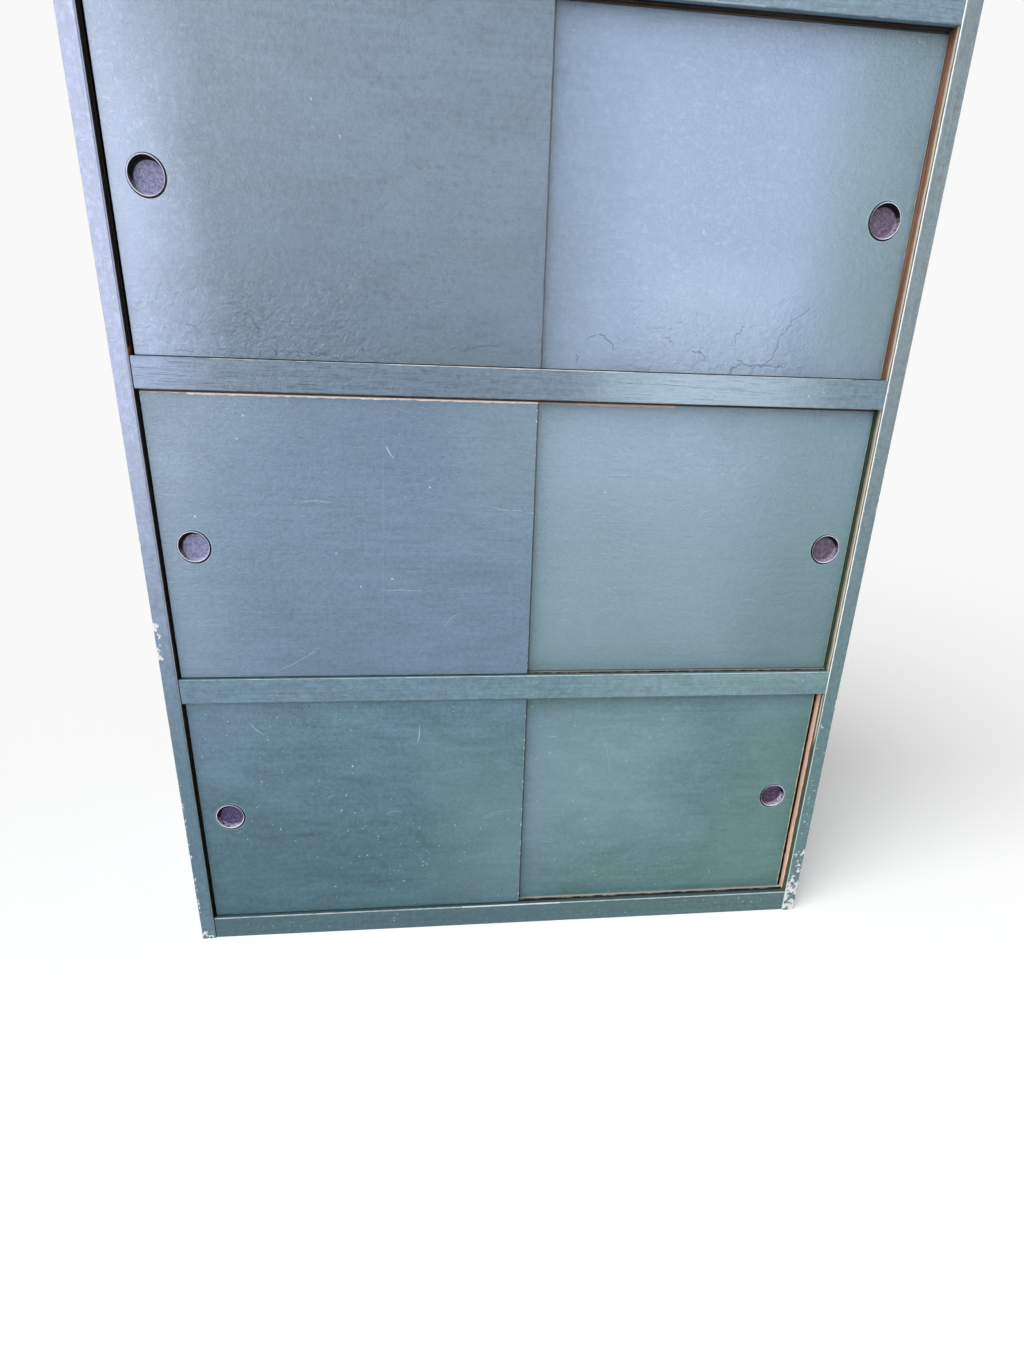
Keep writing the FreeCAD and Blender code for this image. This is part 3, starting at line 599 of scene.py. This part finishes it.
# Rails: the grain shows through the paint, the lips and arrises are rubbed, the grooves are bare.
# "ridge" is how far the paint has gone from the ridge between the tracks.
railLook = {
    "front_rail_bottom": {"left": (67, 98, 109), "right": (73, 105, 108), "seed": 11.0, "ridge": 0.5},
    "front_rail_lower": {"left": (101, 131, 150), "right": (108, 142, 147), "seed": 12.5, "ridge": 0.35},
    "front_rail_upper": {"left": (87, 109, 132), "right": (96, 122, 138), "seed": 14.2, "ridge": 0.15},
    "front_rail_top": {"left": (101, 125, 146), "right": (104, 130, 148), "seed": 15.9, "ridge": 0.0},
}
railWear = {
    "worn": (222, 226, 222), "lip": (52, 76, 84), "crack": (46, 60, 68),
    "grooveLight": (60, 50, 43), "grooveDark": (20, 17, 16), "grainLight": (255, 255, 255),
    "grainDark": (165, 178, 182), "grainShare": 0.22,
    "lipFrom": 0.0012, "runDepth": 0.0025, "grooveFrom": (-0.2011, -0.1999),
    "ridgeFrom": -0.1922, "ridgeTo": -0.1843,
}
# Rubbed runs along the front arrises: low x, high x, height above the rail's foot, half height, strength
railRuns = {
    "front_rail_upper": [
        (-0.21, 0.16, 0.0445, 0.0012, 0.95), (0.1, 0.52, 0.0445, 0.0008, 0.4),
        (-0.47, -0.16, 0.0445, 0.0008, 0.7), (-0.6, -0.42, 0.0445, 0.0005, 0.4),
    ],
    "front_rail_lower": [(-0.2, 0.6, 0.0445, 0.0009, 0.6), (-0.6, -0.2, 0.0445, 0.0006, 0.3)],
    "front_rail_bottom": [
        (-0.1, 0.1, 0.0445, 0.0007, 0.8), (0.1, 0.6, 0.0445, 0.0004, 0.4), (-0.6, -0.1, 0.0445, 0.0003, 0.4),
    ],
    "front_rail_top": [(-0.3, 0.3, 0.0, 0.0008, 0.4)],
}
railCracks = {
    "front_rail_upper": [
        (95, 1031, 400, 1020, 1.1, 0.6, 2), (-540, 1033, -470, 1032, 1.1, 0.5, 0),
        (-560, 1022, -500, 1021, 1.0, 0.45, 0), (-555, 1012, -455, 1011, 1.0, 0.45, 1),
    ],
    "front_rail_lower": [(11.5, 503, 11.7, 493, 1.6, 0.8, 0), (-300, 520, -120, 517, 1.0, 0.35, 1)],
    "front_rail_bottom": [(200, 22, 380, 20, 1.0, 0.3, 1)],
}
# Painted sheen, lighter bluish areas of reflected light: low x, high x, softness, strength, colour
railSheen = {
    "front_rail_upper": [
        (0.04, 0.54, 0.2, 0.58, (170, 194, 214)), (-0.8, -0.44, 0.12, 0.5, (166, 184, 224)),
    ],
    "front_rail_lower": [(0.05, 0.6, 0.2, 0.1, (170, 194, 214))],
}
# Chipped areas: low x, high x, limit, strength
railChips = {
    "front_rail_lower": [(0.36, 0.44, 0.63, 0.5), (0.5, 0.58, 0.64, 0.4)],
    "front_rail_bottom": [(0.1, 0.56, 0.655, 0.5), (0.46, 0.57, 0.65, 0.5), (-0.55, -0.2, 0.655, 0.5)],
    "front_rail_upper": [(0.4, 0.52, 0.66, 0.4)],
}


def dressRail(name, look):
    low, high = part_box(name)
    foot, head = low[2] - past, high[2] + past
    seed, worn = look["seed"], railWear["worn"]
    coat = Coat(name + "Paint", 0.0005)
    tree = coat.tree
    paint = use(tree, brushedPaint, high=look["right"], low=look["left"], axis=(1, 0, 0), lowAt=-0.35,
                highAt=0.5, strokes=(5, 5, 240), seed=seed, clouding=0.16, stroking=0.5, mottling=0.36)
    wood = use(tree, woodGrain, light=railWear["grainLight"], dark=railWear["grainDark"], draw=(3, 60, 420),
               seed=seed, grime=0.0)
    shaded = vector(tree, "MULTIPLY", paint["tone"], wood["tone"])
    coat.tone = mix(tree, railWear["grainShare"], paint["tone"], shaded)
    # Painted sheen: lighter bluish areas where the paint reflects the light
    for x0, x1, soft, strength, colour in railSheen.get(name, []):
        coat.layBox(patch, (x0, foot, x1, head), colour, strength, soft=soft, fray=0.1, grain=7.0)
    coat.layLines(railCracks.get(name, []), "railCrack", railWear["crack"])
    for x0, x1, limit, strength in railChips.get(name, []):
        sides = (x0, low[2] - 0.01, x1, high[2] + 0.01)
        coat.layBox(chips, sides, worn, strength, soft=0.02, grain=150.0, limit=limit)
    lip = (-past, high[2] - 0.0003, past, head)
    coat.layBox(patch, lip, railWear["lip"], 0.6, soft=0.0002, front=low[1] + railWear["lipFrom"])
    coat.layEdges(name, worn, 0.3, reach=0.0012, fray=0.004, seed=seed)
    for x0, x1, rise, half, strength in railRuns[name]:
        sides = (x0, low[2] + rise - half - 0.0006, x1, low[2] + rise + half + 0.0012)
        coat.layBox(patch, sides, worn, strength, soft=0.0008, fray=0.0022, grain=45.0,
                    back=low[1] + railWear["runDepth"])
    bare = use(tree, woodGrain, light=railWear["grooveLight"], dark=railWear["grooveDark"], draw=(4, 90, 90),
               seed=seed, grime=0.6)
    coat.lay(blur(tree, placeParts(tree)[1], *railWear["grooveFrom"]), bare["tone"])
    ridge = (0.01, high[2] - 0.0022, 0.59, high[2] + 0.01)
    coat.layBox(patch, ridge, worn, look["ridge"], soft=0.0008, fray=0.003, grain=50.0,
                front=railWear["ridgeFrom"], back=railWear["ridgeTo"])
    coat.finish(paint["roughness"], timesPlus(tree, wood["pores"], -0.6, paint["height"]), name)


for name, look in railLook.items():
    dressRail(name, look)
print("front rails painted")

# The paint that sides, top and the posts' outer faces share
sideLook = {
    "high": (112, 132, 152), "low": (80, 110, 120), "woodLight": (150, 122, 92), "woodDark": (96, 72, 52),
    "wornEdge": (170, 176, 172),
}


def sidePaint(tree, **values):
    return use(tree, brushedPaint, high=sideLook["high"], low=sideLook["low"], lowAt=0.1, highAt=1.2, **values)


# Front posts: upright strokes, chips to the primer, and bare bands on the faces towards the doors
postLook = {
    # The left post's pale lilac high colour is a painted reflection of the light to its left
    "front_post_left": {"high": (160, 170, 205), "low": (84, 114, 131), "seed": 21.0},
    "front_post_right": {"high": (106, 123, 130), "low": (86, 119, 123), "seed": 24.0},
}
postWear = {
    "primer": (230, 226, 228), "arrisLow": (176, 208, 196), "arrisHigh": (244, 246, 246),
    "rawCorner": (190, 112, 66), "outerFrom": (0.6052, 0.6058), "arrisReach": (0.575, 0.5824),
    "arrisDepth": 0.0024, "innerReach": (0.575, 0.5836), "innerFrom": 0.0022,
    "cornerReach": (-0.59, 1.04, -0.578, 1.058),
}
# Bands on the inner faces, from the front inwards: paint, ragged edge, shade, bare wood by tier, and
# the deepest band, dirt and painted shade in the groove and gap beside the door. The left post's colours
# are all dark, painted shade on a face turned away from the light.
jambLook = {
    "front_post_left": {
        "paint": (26, 34, 38), "cream": (44, 44, 42), "shade": (20, 20, 20), "dirtAndShade": (14, 13, 14),
        "deepMid": (14, 16, 16), "bareLow": (60, 48, 40), "bareMid": (44, 42, 38), "bareHigh": (44, 38, 34),
    },
    "front_post_right": {
        "paint": (66, 82, 72), "cream": (224, 208, 180), "shade": (86, 82, 68), "dirtAndShade": (34, 28, 24),
        "deepMid": (46, 64, 54), "bareLow": (255, 216, 194), "bareMid": (140, 132, 114),
        "bareHigh": (152, 112, 90),
    },
}
# Both ends of each band's soft border, in metres behind the front. The last band starts at "bareTo" in the
# lower tier, and the others add to it.
jambBands = {
    "paint": (0.0046, 0.0054), "cream": (0.0094, 0.0102), "shade": (0.0186, 0.0196), "bare": (0, 0.0008),
    "bareTo": 0.0325, "middleMore": -0.0145, "upperMore": 0.0110,
}
# Heights at which the tiers and the colours of the arris and the ragged edge change
postLevels = {"middle": (0.49, 0.53), "upper": (1.0, 1.04), "arris": (0.44, 0.56), "cream": (0.38, 0.42)}
# Single knocks in the paint
postKnocks = {
    "front_post_right": [
        (586, 386, 587, 385, 2.4, 0.95, 0), (602, 377, 602, 375, 2.4, 0.9, 0),
        (602, 255, 602, 254, 2.2, 0.9, 0), (584, 433, 590, 430, 1.6, 0.8, 0),
        (585, 440, 586, 428, 1.2, 0.7, 0),
    ],
}
# Chipped areas: low x, low z, high x, high z, softness, grain, limit, strength
postChips = {
    "front_post_left": [
        (-0.62, 0.57, -0.588, 0.66, 0.012, 90, 0.5, 0.9), (-0.62, -0.05, -0.57, 0.03, 0.015, 110, 0.5, 0.8),
        (-0.62, 0.02, -0.597, 0.36, 0.006, 120, 0.56, 0.8), (-0.62, 0.74, -0.6, 0.82, 0.006, 120, 0.55, 0.8),
    ],
    "front_post_right": [
        (0.57, -0.05, 0.62, 0.08, 0.012, 70, 0.46, 0.8), (0.57, 0.03, 0.62, 0.17, 0.02, 130, 0.54, 0.9),
        (0.57, 0.15, 0.62, 0.34, 0.02, 170, 0.62, 0.9), (0.6, 0.4, 0.62, 0.52, 0.005, 120, 0.53, 0.8),
        (0.6, 0.82, 0.62, 0.92, 0.005, 110, 0.53, 0.7),
    ],
}


# The face towards the doors: bands by depth, which change from tier to tier
def jambTones(tree, name, front, seed):
    tones = jambLook[name]
    parts = placeParts(tree)
    middle, upper = (blur(tree, parts[2], *postLevels[tier]) for tier in ("middle", "upper"))
    wander = times(tree, swing(tree, seeded(tree, seed), 40.0, 5.0), 0.005)
    depth = calc(tree, "ADD", minus(tree, parts[1], front), wander)
    bare = mix(tree, upper, mix(tree, middle, tones["bareLow"], tones["bareMid"]), tones["bareHigh"])
    shade = mix(tree, upper, mix(tree, middle, tones["shade"], tones["bareMid"]), tones["bareHigh"])
    streaked = use(tree, woodGrain, light=bare, dark=tones["dirtAndShade"], draw=(160, 160, 5), seed=seed, grime=0.2)
    bare = mix(tree, timesPlus(tree, upper, 0.4, 0.24), bare, streaked["tone"])
    cream = mix(tree, blur(tree, parts[2], *postLevels["cream"]), tones["shade"], tones["cream"])
    # The deepest band: dirt, and painted shade in the groove and gap beside the door
    deep = mix(tree, middle, tones["dirtAndShade"], mix(tree, upper, tones["deepMid"], tones["dirtAndShade"]))
    deepFrom = timesPlus(tree, upper, jambBands["upperMore"], jambBands["bareTo"])
    deepFrom = timesPlus(tree, middle, jambBands["middleMore"], deepFrom)
    jamb = mix(tree, blur(tree, depth, *jambBands["paint"]), tones["paint"], cream)
    jamb = mix(tree, blur(tree, depth, *jambBands["cream"]), jamb, shade)
    jamb = mix(tree, blur(tree, depth, *jambBands["shade"]), jamb, bare)
    return mix(tree, blur(tree, minus(tree, depth, deepFrom), *jambBands["bare"]), jamb, deep)


def dressPost(name, look):
    low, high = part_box(name)
    side = 1.0 if low[0] > 0 else -1.0
    front, seed, primer = low[1], look["seed"], postWear["primer"]
    foot, head = low[2] - past, high[2] + past
    coat = Coat(name + "Paint", 0.0005)
    tree = coat.tree
    strokes = {"strokes": (170, 170, 5), "seed": seed, "clouding": 0.2, "stroking": 0.3, "mottling": 0.3}
    paint = use(tree, brushedPaint, high=look["high"], low=look["low"], lowAt=0.24, highAt=1.2, **strokes)
    parts = placeParts(tree)
    outer = blur(tree, calc(tree, "ABSOLUTE", parts[0]), *postWear["outerFrom"])
    coat.tone = mix(tree, outer, paint["tone"], sidePaint(tree, **strokes)["tone"])
    coat.layEdges(name, primer, 0.4, reach=0.0014, fray=0.0065, seed=seed)
    coat.layDots(primer, 0.7, scale=110.0, size=0.16, share=0.06, seed=seed + 3, cluster=0.52)
    for *sides, soft, grain, limit, strength in postChips[name]:
        coat.layBox(chips, sides, primer, strength, soft=soft, grain=grain, limit=limit,
                    front=front - soft, back=front + soft + 0.004)
    coat.layLines(postKnocks.get(name, []), "knock", primer)
    # Light line on the inner arris: worn paint, and on the right post, whose inner face is lit, painted
    # highlight
    start, end = sorted(side * reach for reach in postWear["arrisReach"])
    level = blur(tree, parts[2], *postLevels["arris"])
    arrisTone = mix(tree, level, postWear["arrisLow"], postWear["arrisHigh"])
    coat.layBox(patch, (start, foot, end, head), arrisTone, 0.9 if side > 0 else 0.4, soft=0.0006,
                fray=0.0008, grain=60.0, back=front + postWear["arrisDepth"])
    start, end = sorted(side * reach for reach in postWear["innerReach"])
    coat.layBox(patch, (start, foot, end, head), jambTones(tree, name, front, seed), 1.0, soft=0.0004,
                front=front + postWear["innerFrom"])
    if side < 0:
        coat.layBox(patch, postWear["cornerReach"], postWear["rawCorner"], 0.9, soft=0.002, fray=0.008,
                    grain=120.0, front=front + 0.001, back=front + 0.02)
    coat.finish(paint["roughness"], paint["height"], name)


for name, look in postLook.items():
    dressPost(name, look)
print("front posts painted")


# Sides, top and rear posts: painted outside, bare wood inside
def dressSide(name, seed, draw, strokes, axis, paintedFrom):
    coat = Coat(name + "Paint", 0.0005)
    tree = coat.tree
    paint = sidePaint(tree, strokes=strokes, seed=seed, clouding=0.16, stroking=0.14)
    coat.tone = paint["tone"]
    coat.layEdges(name, sideLook["wornEdge"], 0.6, reach=0.002, fray=0.005, seed=seed)
    wood = use(tree, woodGrain, light=sideLook["woodLight"], dark=sideLook["woodDark"], draw=draw, seed=seed,
               grime=0.5)
    parts = placeParts(tree)
    reach = calc(tree, "ABSOLUTE", parts[0]) if axis == "x" else parts[2]
    outside = blur(tree, reach, paintedFrom - 0.0004, paintedFrom + 0.0004)
    coat.tone = mix(tree, outside, wood["tone"], coat.tone)
    roughness = timesPlus(tree, outside, -0.35, calc(tree, "ADD", paint["roughness"], 0.35))
    coat.finish(roughness, timesPlus(tree, wood["height"], 0.35, paint["height"]), name)


# How far a piece reaches from the cabinet's middle, to the left or right
def outerFace(name):
    low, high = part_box(name)
    return max(abs(low[0]), abs(high[0]))


levels = "bottom", "lower", "upper", "top"
seed = 30.0
for side in ("left", "right"):
    panelFace = outerFace("side_panel_" + side + "_lower")
    for level in levels:
        name = "side_rail_" + side + "_" + level
        dressSide(name, seed, (60, 3, 120), (150, 3, 160), "x", panelFace - 0.001)
        seed += 1.7
    for tier in ("lower", "middle", "upper"):
        name = "side_panel_" + side + "_" + tier
        dressSide(name, seed, (70, 45, 2.5), (130, 130, 3), "x", outerFace(name) - 0.002)
        seed += 1.7
    name = "rear_post_" + side
    dressSide(name, seed, (60, 60, 3), (150, 150, 3), "x", outerFace(name) - 0.001)
    seed += 1.7
dressSide("top_board", seed, (2.5, 45, 60), (3, 130, 130), "z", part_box("top_board")[0][2] + 0.001)
print("sides and top painted")

# Bare wood: shelves, back boards and rear rails, grain along each board
woodLook = {
    "shelf": {"light": (158, 128, 96), "dark": (108, 80, 56), "grime": 0.5},
    "backLeft": {"light": (154, 128, 98), "dark": (122, 97, 72), "grime": 0.55},
    "backMiddle": {"light": (142, 114, 84), "dark": (110, 86, 62), "grime": 0.6},
    "backRight": {"light": (160, 132, 100), "dark": (130, 102, 74), "grime": 0.5},
    "rail": {"light": (146, 116, 84), "dark": (92, 66, 46), "grime": 0.5},
    "doorBack": {"light": (164, 134, 98), "dark": (118, 90, 62), "grime": 0.4},
    "coreBrown": {"light": (92, 70, 52), "dark": (40, 30, 24), "grime": 0.6},
    "worn": (186, 160, 128), "seam": (54, 42, 32),
}


def dressWood(name, kind, draw, seed):
    coat = Coat(name + "Wood", 0.0006)
    tree = coat.tree
    wood = use(tree, woodGrain, draw=draw, seed=seed, **woodLook[kind])
    coat.tone = wood["tone"]
    edgeTone, strength = ("seam", 0.7) if kind.startswith("back") else ("worn", 0.35)
    coat.layEdges(name, woodLook[edgeTone], strength, reach=0.0015, fray=0.003, seed=seed)
    coat.finish(timesPlus(tree, wood["pores"], 0.12, 0.66), wood["height"], name)


seed = 60.0
for name in ("bottom_board", "lower_shelf", "upper_shelf"):
    dressWood(name, "shelf", (2.5, 45, 60), seed)
    seed += 1.3
for side in ("left", "middle", "right"):
    dressWood("back_board_" + side, "back" + side.capitalize(), (26, 60, 1.0), seed)
    seed += 5.3
for level in levels:
    dressWood("rear_rail_" + level, "rail", (2.5, 60, 80), seed)
    seed += 1.3
for door in doorLook:
    dressWood(door + "_door_back", "doorBack", (2.5, 60, 40), seed)
    dressWood(door + "_door_core", "coreBrown", (3, 90, 90), seed + 0.6)
    seed += 1.3
print("bare wood done")

# Nails: dark iron, rusted here and there
nailLook = {"iron": (58, 52, 50), "rust": (112, 66, 40)}


def dressNails(name):
    coat = Coat(name + "Iron", 0.0002, metallic=0.7)
    tree = coat.tree
    spots = blur(tree, cloud(tree, objectPlace(tree), 260.0, 5.0, 0.7), 0.4, 0.65)
    coat.tone = mix(tree, spots, nailLook["iron"], nailLook["rust"])
    coat.finish(timesPlus(tree, spots, 0.3, 0.5), spots, name)


for name in ("back_board_nails", "top_board_nails"):
    dressNails(name)

# Pulls: turned cups of dark metal, let into the doors, one profile carried round the cup's axis. Lengths are
# in millimetres.
pullShape = {
    "rimRadius": 26.5, "proud": 0.8, "mouthRadius": 23.0, "floorRadius": 20.5, "depth": 8.4,
    "floorRound": 2.0, "wall": 1.0, "steps": 96, "lip": 0.25, "wallTop": (22.85, 0.7),
}
pullLook = {
    "upper_left": (156, 156, 196), "middle_left": (157, 158, 199), "lower_left": (88, 77, 122),
    "upper_right": (116, 101, 128), "middle_right": (112, 96, 122), "lower_right": (80, 63, 90),
    "dustAndLight": (206, 198, 212), "dark": (8, 6, 10), "rubbedAndHighlight": (218, 218, 246),
}
# Where the metal's bands begin and end, in metres from the cup's middle or from a point close to it
pullBands = {
    "left": {"litMiddle": (0.0019, 0, -0.0019), "rimMiddle": (-0.0009, 0, 0.0006), "up": (0.35, 0, 0.94)},
    "right": {"litMiddle": (0.0003, 0, -0.0018), "rimMiddle": (0.0008, 0, 0.0006), "up": (-0.64, 0, 0.77)},
    "litTo": (0.0211, 0.0217), "wallFrom": (0.0196, 0.0202), "wallTo": (0.0234, 0.0238),
    "lowerWallFrom": (-0.006, -0.017), "rubbedAndHighlightFrom": (0.0231, 0.0234), "rimShadowFrom": (0.0245, 0.0248),
    "turnedLines": 2400.0,
}


def arc(cx, cz, radius, start, end, count):
    angle = np.radians(np.linspace(start, end, count))
    return np.stack([cx + radius * np.cos(angle), cz + radius * np.sin(angle)], axis=1)


# The rim is a low crown between mouth and edge: half a sine wave, as high as the rim stands proud
def pullProfile():
    mouth, floor, wall = (pullShape[part] for part in ("mouthRadius", "floorRadius", "wall"))
    floorY, bend, lip = pullShape["depth"], pullShape["floorRound"], pullShape["lip"]
    lean = np.degrees(np.arctan2(mouth - floor, floorY))
    run = np.linspace(0, 1, 14)
    crown = np.stack([mouth + run * (pullShape["rimRadius"] - mouth),
                      lip - (pullShape["proud"] + lip) * np.sin(pi * run) ** 0.6], axis=1)
    crown[-1, 1] = 0.0
    return np.concatenate([
        np.array([[radius, floorY] for radius in (0.0, 4.0, 9.0, 14.0)]),
        arc(floor - bend * 0.86, floorY - bend, bend, 90, lean, 9),
        np.array([pullShape["wallTop"]]),
        crown,
        np.array([[mouth + wall, 0.0]]),
        np.array([[radius, floorY + wall] for radius in (floor + wall, 8.0, 0.0)]),
    ])


def makePull(door):
    x, z = pullMiddle(door)
    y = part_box(door + "_pull")[0][1] + pullShape["proud"] / 1000
    profile = pullProfile() / 1000
    steps = pullShape["steps"]
    turns = np.linspace(0, 2 * pi, steps, endpoint=False)
    circle = np.stack([np.cos(turns), np.sin(turns)], axis=1)
    points = [(x + radius * across, y + depth, z + radius * up)
              for radius, depth in profile[1:-1] for across, up in circle]
    base, tip = len(points) - steps, len(points)
    points += [(x, y + profile[end, 1], z) for end in (0, -1)]
    pairs = [(step, (step + 1) % steps) for step in range(steps)]
    faces = [(ring + step, ring + after, ring + steps + after, ring + steps + step)
             for ring in range(0, base, steps) for step, after in pairs]
    faces += [(tip, after, step) for step, after in pairs]
    faces += [(tip + 1, base + step, base + after) for step, after in pairs]
    mesh = bpy.data.meshes.new(door + "_cup")
    mesh.from_pydata(points, [], faces)
    mesh.shade_smooth()
    mesh.set_sharp_from_angle(angle=radians(50))
    mesh.materials.append(pullMaterial(door, x, z))
    cup = putUp(door + "_cup", mesh)
    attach(cup, door + "_door")
    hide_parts(door + "_pull")


# Dull floor; beyond a disc a little off the middle the cup is painted dark, painted shadow of the rim on
# the floor and painted shade on the wall; the wall's low side is lighter, dust and painted light; the ring
# on the rim is partly rubbed metal and partly a painted highlight, with a painted shadow round it
def pullMaterial(door, x, z):
    coat = Coat(door + "PullMetal", 0.0002)
    coat.shader["Specular IOR Level"].default_value = 0.15
    tree = coat.tree
    tier, side = door.split("_")
    bands, dark = pullBands[side], pullLook["dark"]
    mottle = cloud(tree, seeded(tree, x * 9), 260.0, 6.0, 0.7)
    flat = fromPull(tree, door)
    radius = measure(tree, "LENGTH", flat)
    turned = calc(tree, "SINE", times(tree, timesPlus(tree, mottle, 0.012, radius), pullBands["turnedLines"]))
    specked = blur(tree, cloud(tree, seeded(tree, z * 7), 210.0, 5.0, 0.75), 0.52, 0.64)
    coat.tone = pullLook[door]
    coat.lay(blur(tree, mottle, 0.4, 0.62), dark, 0.45)
    coat.tone = mix(tree, timesPlus(tree, turned, 0.14, 0.14), coat.tone, dark)
    coat.lay(specked, pullLook["dustAndLight"], 0.22)
    # Painted shadow: floor and wall beyond a disc a little off the middle are painted dark
    lit = measure(tree, "DISTANCE", flat, bands["litMiddle"])
    coat.lay(blur(tree, lit, *pullBands["litTo"]), dark)
    # The wall's low side is painted lighter: dust, and painted light where the wall faces the light
    wall = times(tree, blur(tree, radius, *pullBands["wallFrom"]),
                 blur(tree, radius, *pullBands["wallTo"], 1.0, 0.0))
    drop = measure(tree, "DOT_PRODUCT", flat, bands["up"])
    lowerWall = times(tree, wall, blur(tree, drop, *pullBands["lowerWallFrom"]))
    dustyAndLit = times(tree, lowerWall, blur(tree, mottle, 0.36, 0.6))
    coat.lay(dustyAndLit, pullLook["dustAndLight"], 0.7 if tier == "lower" else 0.4)
    # The ring on the rim: rubbed metal and a painted highlight, thicker on one side
    offset = measure(tree, "DISTANCE", flat, bands["rimMiddle"])
    rimShadow = blur(tree, offset, *pullBands["rimShadowFrom"])
    bright = blur(tree, offset, *pullBands["rubbedAndHighlightFrom"])
    bright = times(tree, bright, minus(tree, 1.0, rimShadow))
    coat.lay(times(tree, bright, blur(tree, mottle, 0.36, 0.52, 0.7, 1.0)), pullLook["rubbedAndHighlight"])
    # Painted shadow round the rim, wider on one side
    coat.lay(rimShadow, dark)
    roughness = timesPlus(tree, mottle, 0.3, timesPlus(tree, bright, -0.2, 0.5))
    return coat.finish(roughness, timesPlus(tree, turned, 0.2, mottle))


for door in doorLook:
    makePull(door)
print("pulls made")

# Floor, world and lamps. The floor is one wide pale plane that keeps the shadow; the camera sees it lighter
# than it lights the cabinet. Two tall boxes of light, hidden from the camera, show only as sheen.
studio = {
    "floorSize": 60.0, "floorTone": 0.8, "seenFar": 1.13, "seenNear": 1.19,
    "nearEdge": (0.45, -0.4), "fadeAway": (-6.0, -2.5), "ambient": 0.17, "backdrop": 0.947,
    "keyStrength": 3.28, "keyTurn": (50, 0, -38), "keySoftness": 62,
}
# Place, point that it looks at, roll in degrees, size, power, colour
lightBoxes = {
    "rightBox": ((1.08, -2.65, 1.6), (0.3, -0.2, 1.3), 0, (0.4, 2.0), 56.0, (0.86, 0.94, 1.0)),
    "leftBox": ((-1.5, -2.65, 1.45), (-0.6, -0.2, 1.2), 16, (0.4, 2.2), 66.0, (0.84, 0.92, 1.0)),
}


def makeFloor():
    reach = studio["floorSize"]
    corners = [(-reach, -reach, 0), (reach, -reach, 0), (reach, reach, 0), (-reach, reach, 0)]
    mesh = bpy.data.meshes.new("floor")
    mesh.from_pydata(corners, [], [(0, 1, 2, 3)])
    material = bpy.data.materials.new("floorPaper")
    material.use_nodes = True
    tree = material.node_tree
    tree.nodes.remove(tree.nodes["Principled BSDF"])
    depth = placeParts(tree)[1]
    near = blur(tree, depth, *studio["nearEdge"])
    near = times(tree, near, blur(tree, depth, *studio["fadeAway"]))
    seen = timesPlus(tree, near, studio["seenNear"] - studio["seenFar"], studio["seenFar"])
    lift = times(tree, seenShare(tree), minus(tree, seen, studio["floorTone"]))
    level = calc(tree, "ADD", lift, studio["floorTone"])
    grey = put(tree, "CombineXYZ", {0: level, 1: level, 2: level}).outputs[0]
    paper = put(tree, "BsdfDiffuse", {"Color": grey})
    tree.links.new(paper.outputs[0], tree.nodes["Material Output"].inputs["Surface"])
    mesh.materials.append(material)
    putUp("floor", mesh)


# One for rays from the camera, and for those that mirror or pass through; nought for the light itself
def seenShare(tree):
    path = put(tree, "LightPath").outputs
    both = calc(tree, "MAXIMUM", path["Is Camera Ray"], path["Is Glossy Ray"])
    return calc(tree, "MAXIMUM", both, path["Is Transmission Ray"])


def makeWorld():
    world = bpy.data.worlds.new("studio")
    bpy.context.scene.world = world
    world.use_nodes = True
    tree = world.node_tree
    ambient = tree.nodes["Background"]
    join(tree, (255, 255, 255), ambient.inputs["Color"])
    join(tree, studio["ambient"], ambient.inputs["Strength"])
    seen = put(tree, "Background", {"Color": (255, 255, 255), "Strength": studio["backdrop"]})
    both = put(tree, "MixShader", {0: seenShare(tree), 1: ambient.outputs[0], 2: seen.outputs[0]})
    tree.links.new(both.outputs[0], tree.nodes["World Output"].inputs["Surface"])


def makeLightBox(name, where, target, roll, size, power, colour):
    data = bpy.data.lights.new(name, "AREA")
    data.shape = "RECTANGLE"
    data.size, data.size_y = size
    data.energy = power
    data.color = colour
    x, y, z = np.array(target) - np.array(where)
    turn = (np.degrees(np.arctan2(np.hypot(x, y), -z)), roll, np.degrees(np.arctan2(-x, y)))
    lamp = putUp(name, data, where, turn)
    lamp.visible_diffuse = False
    lamp.visible_camera = False


def makeKey():
    data = bpy.data.lights.new("keyLamp", "SUN")
    data.energy = studio["keyStrength"]
    data.angle = radians(studio["keySoftness"])
    putUp("keyLamp", data, turn=studio["keyTurn"])


makeFloor()
makeWorld()
makeKey()
for name, values in lightBoxes.items():
    makeLightBox(name, *values)
print("floor, world and lamps set")
